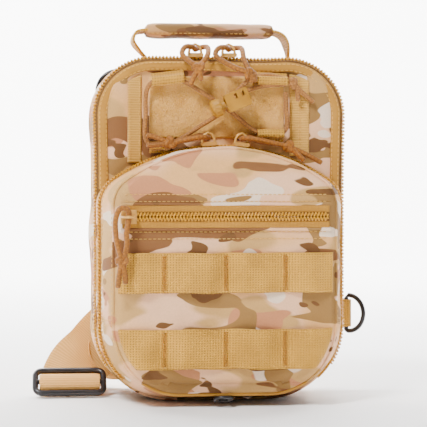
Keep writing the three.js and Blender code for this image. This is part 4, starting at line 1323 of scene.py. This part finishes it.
def pocket_liners():
    """Loose lining that hides the gap where the pocket's foot sinks below the floor with the cover open."""
    foot_top, foot_half = 36, 60
    face_low, face_high = 22, 92
    foot = pocket_side(Maker(), np.linspace(12, SEAM_DEPTH, 20))
    pocket_face(foot)
    foot.keep(lambda centre: (centre[:, 2] < foot_top) & (np.abs(centre[:, 0]) < foot_half))
    moved_in(foot, 0.962, 2.6, 2.4)
    piece = shell(foot, "pocket_foot_liner", LINING, centre=POCKET_CENTRE, thickness=0.4)
    place(piece, "lining_fabric", body="cover")
    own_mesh(piece)
    face = pocket_face(Maker())
    face.keep(lambda centre: (centre[:, 2] > face_low) & (centre[:, 2] < face_high))
    moved_in(face, 0.95, 5.0, 0)
    on_pocket(shell(face, "pocket_face_liner", LINING, out=FRONTWARDS, thickness=0.4), "lining_fabric")


def pocket_zip():
    for node, depths, coil_depth, fix in (
        ("pocket_zip_rear", (4.1, 7.3), 6.75, place),
        ("pocket_zip_front", (7.6, 10.9), 8.15, on_pocket),
    ):
        tape = pocket_side(Maker(), np.linspace(*depths, 5), puff=0).keep(ABOVE_TRAY)
        piece = shell(tape, node + "_tape", ZIP_TAPE, centre=POCKET_CENTRE, thickness=0.7)
        fix(piece, "zipper_coil", node)
        line = pocket_surface(SHARES, coil_depth, 0)
        keep = line[:, 2] >= TRAY_TOP + 0.5
        line, outward = line[keep], pocket_normals(SHARES)[keep]
        teeth = Maker()
        coil(teeth, line + 0.5 * outward, outward, REARWARDS, 0.8, 0.95, 2.2, 0.46, handed=1 if fix is place else -1)
        piece = teeth.make(node + "_coil", COIL)
        if fix is place:
            place(piece, "zipper_coil", body="cover")
        else:
            on_pocket(piece, "zipper_coil")


def pocket_seams():
    """Rows of stitches beside the piping and up the side seams."""
    rows = Maker()
    for depth in (31.4, 13.4):
        line = pocket_surface(SHARES, depth)
        keep = line[:, 2] >= TRAY_TOP + 1
        normal = pocket_normals(SHARES)
        stitches(rows, line[keep], normal[keep], 3.0, 0.65, 0.24, lift=0.05)
    for sign in (1, -1):
        share = POCKET.share_at(52) if sign > 0 else 1 - POCKET.share_at(52)
        depth = np.linspace(12, 32, 24)
        line = pocket_surface(0 * depth + share, depth)
        normal = pocket_normals(0 * depth + share)
        for shift in (-1.6, 1.6):
            stitches(rows, line + [0, 0, shift], normal, 2.6, 0.65, 0.24, lift=0.05)
    on_pocket(rows.make("pocket_side_stitches", THREAD), "binding_tape")


ROWS = {"web_row_lower": 25.4, "web_row_upper": 73.7}
ROW_WIDE = 25.4
BARTACKS = (-39.5, -0.5, 37.5)


def row_lift(x, z, seed):
    """How far a row of webbing stands off the pocket: tight at each bartack, loose between."""
    anchors = np.array([-67.5, *BARTACKS, 67.5])
    near = np.min(np.abs(x[..., None] - anchors), -1)
    slack = smooth_step(near, 0.5, 13)
    wave = wobble(xyz(x, 0, z * 0.7), 20, seed)
    return 1.0 + slack * (2.6 + 1.5 * wave)


def web_rows():
    tacks = Maker()
    for number, (node, z0) in enumerate(ROWS.items()):
        v, u = spread(22, 240)
        z = z0 + ROW_WIDE * v
        half = np.minimum(rim_half(z) + POCKET_EDGE - 0.9, 68.6)
        x = half * (2 * u - 1)
        ripple = 0.5 * wobble(xyz(x, 0, 0), 15, 61 + number)
        z = z + ripple * smooth_step(67 - np.abs(x), 0, 8)
        y = face_y(x, z) - row_lift(x, z, 51 + number)
        points = xyz(x, y, z)
        maker = Maker()
        maker.grid(points, np.stack([x, z], -1))
        on_pocket(shell(maker, node + "_webbing", WEBBING, out=FRONTWARDS, thickness=1.4), "tan_webbing", node)
        for tack in BARTACKS:
            count = 46
            t = np.linspace(0.05, 0.95, count)
            zz = z0 + ROW_WIDE * t
            xx = tack + 1.35 * np.where(np.arange(count) % 2 == 0, 1, -1)
            yy = face_y(xx, zz) - row_lift(xx, zz, 51 + number) - 0.25
            tacks.tube(xyz(xx, yy, zz), 0.26, sides=5)
    on_pocket(tacks.make("web_row_bartacks", THREAD), "tan_webbing")


FLAT_ZIP_Z = 122
FLAT_ZIP_HALF = 66


def flat_zip():
    for node, sign in (("flat_zip_upper", 1), ("flat_zip_lower", -1)):
        v, u = spread(14, 150)
        x = FLAT_ZIP_HALF * (2 * u - 1)
        rise = 0.25 + 6.7 * v
        z = FLAT_ZIP_Z + sign * rise
        lift = 0.5 + 0.75 * smooth_step(rise, 2.6, 3.2) + 0.2 * smooth_step(rise, 5.4, 6.6)
        y = face_y(x, z) - lift - 0.15 * wobble(xyz(x, 0, z), 18, 71)
        maker = Maker()
        maker.grid(xyz(x, y, z), np.stack([x, z], -1))
        on_pocket(shell(maker, node + "_tape", ZIP_TAPE, out=FRONTWARDS, thickness=0.8), "zipper_coil", node)
        # A dark sheet under the coil rows: painted shade between them.
        shade_sheet = Maker()
        shade_sheet_z = FLAT_ZIP_Z + sign * (0.15 + 2.75 * v)
        shade_sheet.grid(xyz(x, face_y(x, shade_sheet_z) - 0.95, shade_sheet_z), np.stack([x, shade_sheet_z], -1))
        on_pocket(shade_sheet.make(node + "_coil_shade", COIL_SHADE), "zipper_coil")
        line_x = np.linspace(-FLAT_ZIP_HALF + 1, FLAT_ZIP_HALF - 1, 300)
        line_z = 0 * line_x + FLAT_ZIP_Z + sign * 1.45
        line = xyz(line_x, face_y(line_x, line_z) - 1.5, line_z)
        teeth = Maker()
        coil(teeth, line, FRONTWARDS, UPWARDS, 0.65, 1.05, 2.1, 0.48, handed=sign)
        on_pocket(teeth.make(node + "_coil", COIL), "zipper_coil")
    welts = Maker()
    for z_mid in (129.9, 114.1):
        x = np.linspace(-66.5, 66.5, 200)
        z = 0 * x + z_mid
        line = xyz(x, face_y(x, z) - 0.35, z + 0.2 * np.sin(x / 9))
        welts.tube(line, 1.25, sides=10)
    on_pocket(welts.make("flat_zip_welts", CAMO), "camo_fabric")
    rows = Maker()
    for z_row in (136, 131.6, 112.4, 108):
        x = np.linspace(-64.5, 64.5, 200)
        z = 0 * x + z_row
        stitches(rows, xyz(x, face_y(x, z), z), FRONTWARDS, 2.9, 0.68, 0.25, lift=0.12)
    on_pocket(rows.make("pocket_face_stitches", THREAD), "camo_fabric")


def divider():
    low, high = node_box("pocket_divider")
    v, u = spread(30, 40)
    x, z = low[0] + (high[0] - low[0]) * u, low[2] + (high[2] - low[2]) * v
    y = (low[1] + high[1]) / 2 - 0.5 - 1.0 * wobble(xyz(x, 0, z), 40, 91) * np.sin(math.pi * u) * v
    maker = Maker()
    maker.grid(xyz(x, y, z))
    piece = shell(maker, "pocket_divider_cloth", LINING, out=FRONTWARDS, thickness=0.7)
    place(piece, "lining_fabric", "pocket_divider")


# ---------------------------------------------------------------- grab handle
HANDLE_Y = 20
HANDLE_FOOT = 226.8
HANDLE_LINE = [
    (-46, HANDLE_FOOT), (-51, 232), (-55, 238), (-53, 243.5), (-46, 245), (-20, 246), (12, 246),
    (40, 244.5), (46, 241.5), (49, 235), (50, HANDLE_FOOT),
]


def grab_handle():
    line = even(smooth_line([(x, HANDLE_Y, z) for x, z in HANDLE_LINE], 160), 1.2)
    width = 25.4 - 18 * (1 - smooth_step(line[:, 2], HANDLE_FOOT, HANDLE_FOOT + 11))
    across = np.tile([0.0, 1.0, 0.0], (len(line), 1))
    maker = Maker()
    ribbon(maker, line, across, width, 2.0)
    place(maker.make("handle_webbing_strap", WEBBING), "tan_webbing", "handle_webbing")
    low, high = node_box("handle_grip")
    v, u = spread(70, 64)
    x = low[0] + (high[0] - low[0]) * v
    end = np.clip(1 - np.abs(2 * v - 1) ** 14, 0, 1) ** 0.4
    angle = 2 * math.pi * u
    soft = 1 + 0.035 * wobble(xyz(x, 14 * np.cos(angle), 6 * np.sin(angle)), 14, 81)
    boxy = 0.62
    y = HANDLE_Y + 14.8 * squared(np.cos(angle), boxy) * (0.55 + 0.45 * end) * soft
    z = 245.1 + (x + 4) * -0.004 + 4.8 * squared(np.sin(angle), boxy) * (0.4 + 0.6 * end) * soft
    piece = Maker().swept(xyz(x, y, z)[:, :-1]).make("handle_grip_padded", HANDLE_CAMO)
    place(piece, "camo_fabric", "handle_grip")
    seam = Maker()
    x_line = np.linspace(low[0] + 3, high[0] - 3, 80)
    stitches(seam, xyz(x_line, HANDLE_Y - 14.1, 242.6), (0, -0.8, -0.6), 3.0, 0.66, 0.24)
    place(seam.make("handle_stitches", THREAD), "tan_webbing", body="handle")
    for node in ("handle_foot_left", "handle_foot_right"):
        low, high = node_box(node)
        v, u = spread(16, 30)
        x, y = low[0] + (high[0] - low[0]) * v, low[1] + (high[1] - low[1]) * u
        near = np.minimum(from_edges(x, low[0], high[0]), from_edges(y, low[1], high[1]))
        z = low[2] + (high[2] - low[2]) * np.sqrt(np.clip(near / 1.0, 0, 1))
        maker = Maker()
        maker.grid(xyz(x, y, z), np.stack([y, x], -1))
        place(shell(maker, node + "_webbing", WEBBING, out=UPWARDS, thickness=0.5), "tan_webbing", node)


# ---------------------------------------------------------------- shoulder strap and back
BUCKLE = np.array([-97.5, 20, 10.2])
BUCKLE_LEAN = math.radians(45)


def on_buckle(x, up, out):
    s, c = math.sin(BUCKLE_LEAN), math.cos(BUCKLE_LEAN)
    return tuple(BUCKLE + [x, up * s - out * c, up * c + out * s])


PAD_ROUTE = [
    ((10, 60, 209), (1, 0, 0.05)), ((17, 61, 190), (0.96, 0, 0.25)), ((42, 61.5, 156), (0.9, 0, 0.42)),
    ((58, 61.5, 120), (1, 0, 0.15)), ((60, 61.5, 88), (1, 0, -0.12)), ((52, 61, 58), (0.93, 0, -0.38)),
]
STRAP_ROUTE = [
    ((-60, 50.6, 48), (0.3, 0, -0.95)), ((-69, 50.6, 41), (0.45, 0, -0.89)), ((-77, 50.2, 33), (0.6, 0.05, -0.8)),
    ((-83.5, 46.5, 26), (0.78, 0.12, -0.62)), ((-91, 40, 20), (0.94, 0.05, -0.34)),
    (on_buckle(0, 6, -4), (1, 0, 0)), (on_buckle(0, 5, 0), (1, 0, 0)),
    (on_buckle(0, 2.6, 3.4), (1, 0, 0)), (on_buckle(0, -2.6, 3.4), (1, 0, 0)), (on_buckle(0, -5, 0), (1, 0, 0)),
    (on_buckle(0, -5.2, -4), (1, 0, 0)), ((-97, 34, 3), (1, 0, 0)), ((-95, 46, 5.5), (1, 0, 0.1)),
    ((-88, 57, 14), (0.55, -0.65, 0.5)), ((-74, 62, 23), (0.1, -0.35, 0.93)), ((-50, 63.5, 27), (0, 0, 1)),
    ((0, 64.5, 33), (-0.1, 0, 1)), ((32, 67.4, 48), (-0.3, 0, 1)), ((50, 67.4, 62), (-0.45, 0, 0.9)),
]


def routed(route, steps, step):
    """A route's line and width directions, at even distances."""
    both = np.hstack([smooth_line([r[0] for r in route], steps), smooth_line([r[1] for r in route], steps)])
    run = along(both[:, :3])
    at = np.linspace(0, run[-1], int(run[-1] / step) + 1)
    picked = sample(at, run, both)
    return picked[:, :3], unit(picked[:, 3:])


def rounded_loop(half, height, radius, steps=10):
    """A rectangle with round corners, as (x, up) points."""
    turn = np.linspace(0, QUARTER, steps)
    corners = []
    for number, (x, up) in enumerate([(1, 1), (-1, 1), (-1, -1), (1, -1)]):
        angle = turn + number * QUARTER
        centre = np.array([x * (half - radius), up * (height - radius)])
        corners.append(centre + radius * np.stack([np.cos(angle), np.sin(angle)], 1))
    return np.vstack(corners)


def buckle_frame():
    maker = Maker()
    loop = rounded_loop(22.7, 9.4, 4.5)
    maker.tube(np.array([on_buckle(x, up, 0) for x, up in loop]), 2.05, 12, closed=True)
    bar = np.array([on_buckle(x, 0, 0.2) for x in np.linspace(-22.5, 22.5, 24)])
    maker.tube(bar, 1.7, 10)
    place(maker.make("tri_glide_frame", BLACK_METAL), "black_metal", "tri_glide")


def shoulder_strap():
    line, across = routed(STRAP_ROUTE, 240, 2.0)
    maker = Maker()
    ribbon(maker, line, across, 40, 1.7)
    place(maker.make("strap_webbing_band", STRAP_WEB), "tan_webbing", "strap_webbing")
    edge = Maker()
    side, normal = band_frames(line, across)
    for sign in (-17.5, 17.5):
        for face in (1, -1):
            stitches(edge, line + side * sign + normal * face * 0.7, normal * face, 3.2, 0.66, 0.22)
    place(edge.make("strap_stitches", THREAD), "tan_webbing", body="bag_body")


def pad_mesh(name, points, material):
    """A closed pad from a closed section swept along rows."""
    return facing(Maker().swept(points).make(name, material), centre=tuple(points.mean((0, 1))))


def inflate(piece, pressure=4.0, reach=6.0, frames=20, cell=4.5):
    """Lets a pad settle as filled cloth, then keeps the shape."""
    bpy.context.view_layer.objects.active = piece
    remesh = piece.modifiers.new("even", "REMESH")
    remesh.mode = "VOXEL"
    remesh.voxel_size = cell * MM
    keep_shape(piece)
    rest = np.zeros(3 * len(piece.data.vertices), np.float32)
    piece.data.vertices.foreach_get("co", rest)
    cloth = piece.modifiers.new("filling", "CLOTH")
    cloth.settings.use_pressure = True
    cloth.settings.uniform_pressure_force = pressure
    cloth.settings.effector_weights.gravity = 0
    cloth.settings.quality = 5
    cloth.settings.tension_stiffness = 25
    cloth.settings.bending_stiffness = 0.8
    cloth.point_cache.frame_start, cloth.point_cache.frame_end = 1, frames
    scene = bpy.context.scene
    for number in range(1, frames + 1):
        scene.frame_set(number)
    keep_shape(piece)
    scene.frame_set(1)
    now = np.zeros(len(rest), np.float32)
    piece.data.vertices.foreach_get("co", now)
    move = (now - rest).reshape(-1, 3)
    far = np.maximum(np.linalg.norm(move, axis=1, keepdims=True), 1e-9)
    move *= np.minimum(1, reach * MM / far)
    piece.data.vertices.foreach_set("co", (rest.reshape(-1, 3) + move).astype(np.float32).ravel())
    piece.data.polygons.foreach_set("use_smooth", [True] * len(piece.data.polygons))
    smooth = piece.modifiers.new("smooth", "SUBSURF")
    smooth.levels = smooth.render_levels = 1
    keep_shape(piece)
    return piece


def keep_shape(piece):
    """Bakes the modifiers into the mesh."""
    depsgraph = bpy.context.evaluated_depsgraph_get()
    mesh = bpy.data.meshes.new_from_object(piece.evaluated_get(depsgraph), depsgraph=depsgraph)
    piece.modifiers.clear()
    piece.data = mesh
    mesh.name = piece.name


def shoulder_pad():
    line, across = routed(PAD_ROUTE, 120, 3.0)
    side, normal = band_frames(line, across)
    run = along(line)
    end = np.clip(np.minimum(run, run[-1] - run) / 10, 0, 1)
    half = 30 * (0.72 + 0.28 * np.sqrt(1 - (1 - end) ** 2))
    angle = np.linspace(0, 2 * math.pi, 40, endpoint=False)
    wide, tall = squared(np.cos(angle), 0.55), squared(np.sin(angle), 0.8)
    points = (
        line[:, None]
        + side[:, None] * (half[:, None] * wide[None])[..., None]
        + normal[:, None] * (4.3 * (0.4 + 0.6 * end)[:, None] * tall[None])[..., None]
    )
    piece = inflate(pad_mesh("shoulder_pad_padded", points, MESH_FABRIC), 4.0, 2.5)
    place(piece, "mesh_fabric", "shoulder_pad")
    trim = Maker()
    for sign in (1, -1):
        edge = line + side * (sign * half)[:, None]
        trim.tube(edge[2:-2], 2.3, sides=10)
    place(trim.make("shoulder_pad_binding", BINDING), "binding_tape", body="bag_body")
    tape = Maker()
    ribbon(tape, line[3:-3] + normal[3:-3] * pad_out(normal) * 5.6, side[3:-3], 25, 1.3)
    place(tape.make("shoulder_pad_webbing", WEBBING), "tan_webbing", body="bag_body")


def pad_out(normal):
    """Which way along its normal a back piece faces out."""
    return 1 if normal[:, 1].mean() > 0 else -1


def back_pads():
    seams = Maker()
    for node in ("back_pad_upper", "back_pad_lower"):
        low, high = node_box(node)
        middle = (low + high) / 2
        half_x, half_z = (high[0] - low[0]) / 2, (high[2] - low[2]) / 2
        angle = np.linspace(0, 2 * math.pi, 96, endpoint=False)
        round_x = half_x * squared(np.cos(angle), 0.45)
        round_z = half_z * squared(np.sin(angle), 0.45)
        rows = np.linspace(0, 1, 26)[1:]
        swell = np.sqrt(1 - (1 - rows * 0.985) ** 2.6)
        size = 1 - rows**1.1
        depth = low[1] + 0.2 + (high[1] - low[1] + 0.4) * swell[:, None]
        front = xyz(middle[0] + size[:, None] * round_x, depth, middle[2] + size[:, None] * round_z)
        rim = xyz(middle[0] + round_x, 0 * round_x + low[1] + 0.1, middle[2] + round_z)[None]
        points = np.concatenate([rim, front[:-1]], 0)
        piece = inflate(pad_mesh(node + "_padded", points, MESH_FABRIC), 3.0, 1.6)
        soften_channels(piece, middle[0], high[1])
        place(piece, "mesh_fabric", node)
        trim = np.vstack([rim[0], rim[0][:1]])
        seams.tube(trim + [0, 1.1, 0], 1.5, sides=8)
    place(seams.make("back_pad_binding", BINDING), "binding_tape", body="bag_body")


def soften_channels(piece, middle, top):
    """Two sewn channels up a back pad."""
    co = np.zeros(3 * len(piece.data.vertices), np.float32)
    piece.data.vertices.foreach_get("co", co)
    co = co.reshape(-1, 3)
    for x in (-17, 17):
        away = (co[:, 0] / MM - middle - x) / 2.6
        deep = 3.0 * np.exp(-(away**2)) * (co[:, 1] / MM > top - 3.5)
        co[:, 1] -= deep * MM
    piece.data.vertices.foreach_set("co", co.ravel())
    piece.data.update()


def flat_webbing(node):
    """A sewn-down piece of webbing with a boxed cross of stitches."""
    low, high = node_box(node)
    v, u = spread(24, 24)
    x, z = low[0] + (high[0] - low[0]) * u, low[2] + (high[2] - low[2]) * v
    near = np.minimum(from_edges(x, low[0], high[0]), from_edges(z, low[2], high[2]))
    y = low[1] + (high[1] - low[1]) * (0.4 + 0.6 * np.sqrt(np.clip(near / 1.2, 0, 1)))
    maker = Maker()
    maker.grid(xyz(x, y, z), np.stack([z, x], -1))
    piece = shell(maker, node + "_webbing", WEBBING, out=REARWARDS, thickness=1.2)
    place(piece, "tan_webbing", node)
    sewn = Maker()
    a, b, c, d = low[0] + 2.5, high[0] - 2.5, low[2] + 2.5, high[2] - 2.5
    for (x0, z0), (x1, z1) in [((a, c), (b, c)), ((b, c), (b, d)), ((b, d), (a, d)), ((a, d), (a, c)),
                               ((a, c), (b, d)), ((a, d), (b, c))]:
        t = np.linspace(0, 1, 20)[:, None]
        line = np.array([[x0, high[1], z0]]) * (1 - t) + np.array([[x1, high[1], z1]]) * t
        stitches(sewn, line, REARWARDS, 2.6, 0.7, 0.24, lift=0.1)
    place(sewn.make(node + "_stitches", THREAD), "tan_webbing", body="bag_body")


WING_CORNERS = [(70, 20), (79, 19), (84, 26), (91, 42), (91, 63), (84, 66), (70, 66)]


def side_wing():
    low, high = node_box("side_wing")
    ring = even(np.array([(x, 0, z) for x, z in WING_CORNERS + WING_CORNERS[:1]], float), 1.0)[:-1]
    centre = ring.mean(0)
    size = 1 - np.linspace(0, 1, 14)[:-1, None, None]
    points = centre + (ring[None] - centre) * size
    points[..., 1] = low[1] + (high[1] - low[1]) * (0.45 + 0.55 * smooth_step(1 - size[..., 0], 0, 0.12))
    maker = Maker()
    maker.grid(points, wrap_columns=True)
    maker.fan(points[-1], points[-1].mean(0))
    piece = thicken(facing(maker.make("side_wing_cloth", WING), out=REARWARDS), 1.2)
    place(piece, "wing_fabric", "side_wing")
    sewn = Maker()
    inner = centre + (np.vstack([ring, ring[:1]]) - centre) * 0.84
    inner[:, 1] = high[1] - 0.05
    stitches(sewn, inner, REARWARDS, 2.8, 0.66, 0.24)
    place(sewn.make("side_wing_stitches", THREAD), "tan_webbing", body="bag_body")


# ---------------------------------------------------------------- rings
RING_WIRE, RING_HALF, RING_DEPTH = 1.6, 12.6, 13
EYE_OUTER, TAB_WIDTH = 3.6, 19
BACK_FACE = 48.3
RINGS = {
    "right": ((97, BACK_FACE + 2.7 + EYE_OUTER, 52), 0.0, math.radians(-35), 29),
    "top_left": ((-64, BACK_FACE + 0.3 + EYE_OUTER, 207), math.radians(135), 0.0, 16),
}


def turned(points, at, turn, swing=0.0):
    """Local tab coordinates to the bag's: swing about Z, then turn in the XZ plane."""
    c, s = math.cos(swing), math.sin(swing)
    p = xyz(points[..., 0] * c - points[..., 1] * s, points[..., 0] * s + points[..., 1] * c, points[..., 2])
    c, s = math.cos(-turn), math.sin(-turn)
    p = xyz(p[..., 0] * c + p[..., 2] * s, p[..., 1], -p[..., 0] * s + p[..., 2] * c)
    return p + np.array(at)


def rings():
    for side, (at, turn, swing, stem) in RINGS.items():
        bow = np.linspace(math.pi / 2, -math.pi / 2, 40)
        curve = xyz(1.6 + (RING_DEPTH - 1.6) * np.cos(bow), 0 * bow, RING_HALF * np.sin(bow))
        bar = np.array([(0, 0, RING_HALF * k) for k in (-0.9, -0.75, -0.35, 0.35, 0.75, 0.9)], float)
        loop = np.vstack([curve, bar])
        closed = smooth_line(np.vstack([loop[-2:], loop, loop[:2]]), 8 * (len(loop) + 3))
        closed = even(closed[16:-16], 0.8)
        maker = Maker()
        maker.tube(turned(closed[:-1], at, turn, swing), RING_WIRE, sides=14, closed=True)
        place(maker.make(f"d_ring_{side}_wire", BLACK_METAL), "black_metal", f"d_ring_{side}")
        ring_tab(side, at, turn, stem)


def ring_tab(side, at, turn, stem):
    """Webbing folded round the ring's bar, its two layers sewn flat."""
    outer = EYE_OUTER - 0.75
    around = np.linspace(-math.pi / 2, math.pi * 0.86, 28)
    top = -EYE_OUTER + 2.1
    fold = [(-stem, -EYE_OUTER + 0.7), (-stem * 0.5, -EYE_OUTER + 0.7)]
    fold += [(outer * math.cos(a), outer * math.sin(a)) for a in around]
    fold += [(-EYE_OUTER - 1.8, top + 0.3), (-stem * 0.7, top), (-stem, top)]
    section = even(np.array([(x, y, 0) for x, y in fold]), 0.9)
    v, u = spread(len(section), 20)
    z = TAB_WIDTH * (u - 0.5)
    points = xyz(np.broadcast_to(section[:, :1], v.shape), np.broadcast_to(section[:, 1:2], v.shape), z)
    run = along(section)[:, None] + 0 * u
    maker = Maker()
    maker.grid(turned(points, at, turn), np.stack([run, z], -1))
    piece = thicken(maker.make(f"ring_tab_{side}_webbing", WEBBING), 1.3, offset=0.0)
    place(piece, "tan_webbing", f"ring_tab_{side}")
    sewn = Maker()
    for x in (-EYE_OUTER - 3.2, -stem + 2.5):
        zz = np.linspace(-TAB_WIDTH / 2 + 1.5, TAB_WIDTH / 2 - 1.5, 30)
        line = turned(xyz(0 * zz + x, 0 * zz + top + 0.75, zz), at, turn)
        stitches(sewn, line, REARWARDS, 1.6, 0.8, 0.3)
    place(sewn.make(f"ring_tab_{side}_stitches", THREAD), "tan_webbing", body="bag_body")


# ---------------------------------------------------------------- cord lock button
LOCK_CENTRE, LOCK_TILT = np.array([10, -26.4, 197]), math.radians(-22)


def lock_button():
    """A ribbed round button on the end of the lock."""
    profile = [(-1.0, 3.0), (-3.3, 3.0), (-3.4, 4.6), (-3.6, 5.2), (-4.2, 5.5), (-8.0, 5.5), (-8.6, 5.2), (-9.6, 4.6),
               (-10.2, 3.6), (-10.5, 2.0), (-10.6, 0.05)]
    section = even(np.array([(x, r, 0) for x, r in profile]), 0.45)
    angle = np.linspace(0, 2 * math.pi, 96, endpoint=False)
    rib = 0.28 * (0.5 + 0.5 * np.cos(angle * 16))
    rib = rib * smooth_step(-section[:, :1], 3.6, 4.4) * smooth_step(10.2 + section[:, :1], 0, 1.5)
    radius = section[:, 1:2] + rib * (section[:, 1:2] > 4)
    x = section[:, :1] + 0 * angle - 8
    local = xyz(x, radius * np.cos(angle), radius * np.sin(angle))
    c, s = math.cos(LOCK_TILT), math.sin(LOCK_TILT)
    points = xyz(local[..., 0] * c + local[..., 2] * s, local[..., 1], -local[..., 0] * s + local[..., 2] * c)
    maker = Maker()
    maker.grid(points + LOCK_CENTRE, wrap_columns=True)
    place(maker.make("cord_lock_button_ribbed", TAN_PLASTIC, sharp=35), "tan_plastic", "cord_lock_button")


studio()
zipper_pulls()
bungee_lacing()
main_gusset()
main_zip(front=True)
main_zip(front=False)
cover_panel()
cover_binding()
back_panel()
inner_sleeve()
loop_panel()
side_strips()
bungee_tabs()
hard_parts()
pocket_shell()
pocket_liners()
pocket_zip()
pocket_seams()
web_rows()
flat_zip()
divider()
grab_handle()
buckle_frame()
shoulder_strap()
shoulder_pad()
back_pads()
flat_webbing("strap_anchor_top")
flat_webbing("strap_anchor_lower")
side_wing()
rings()
lock_button()
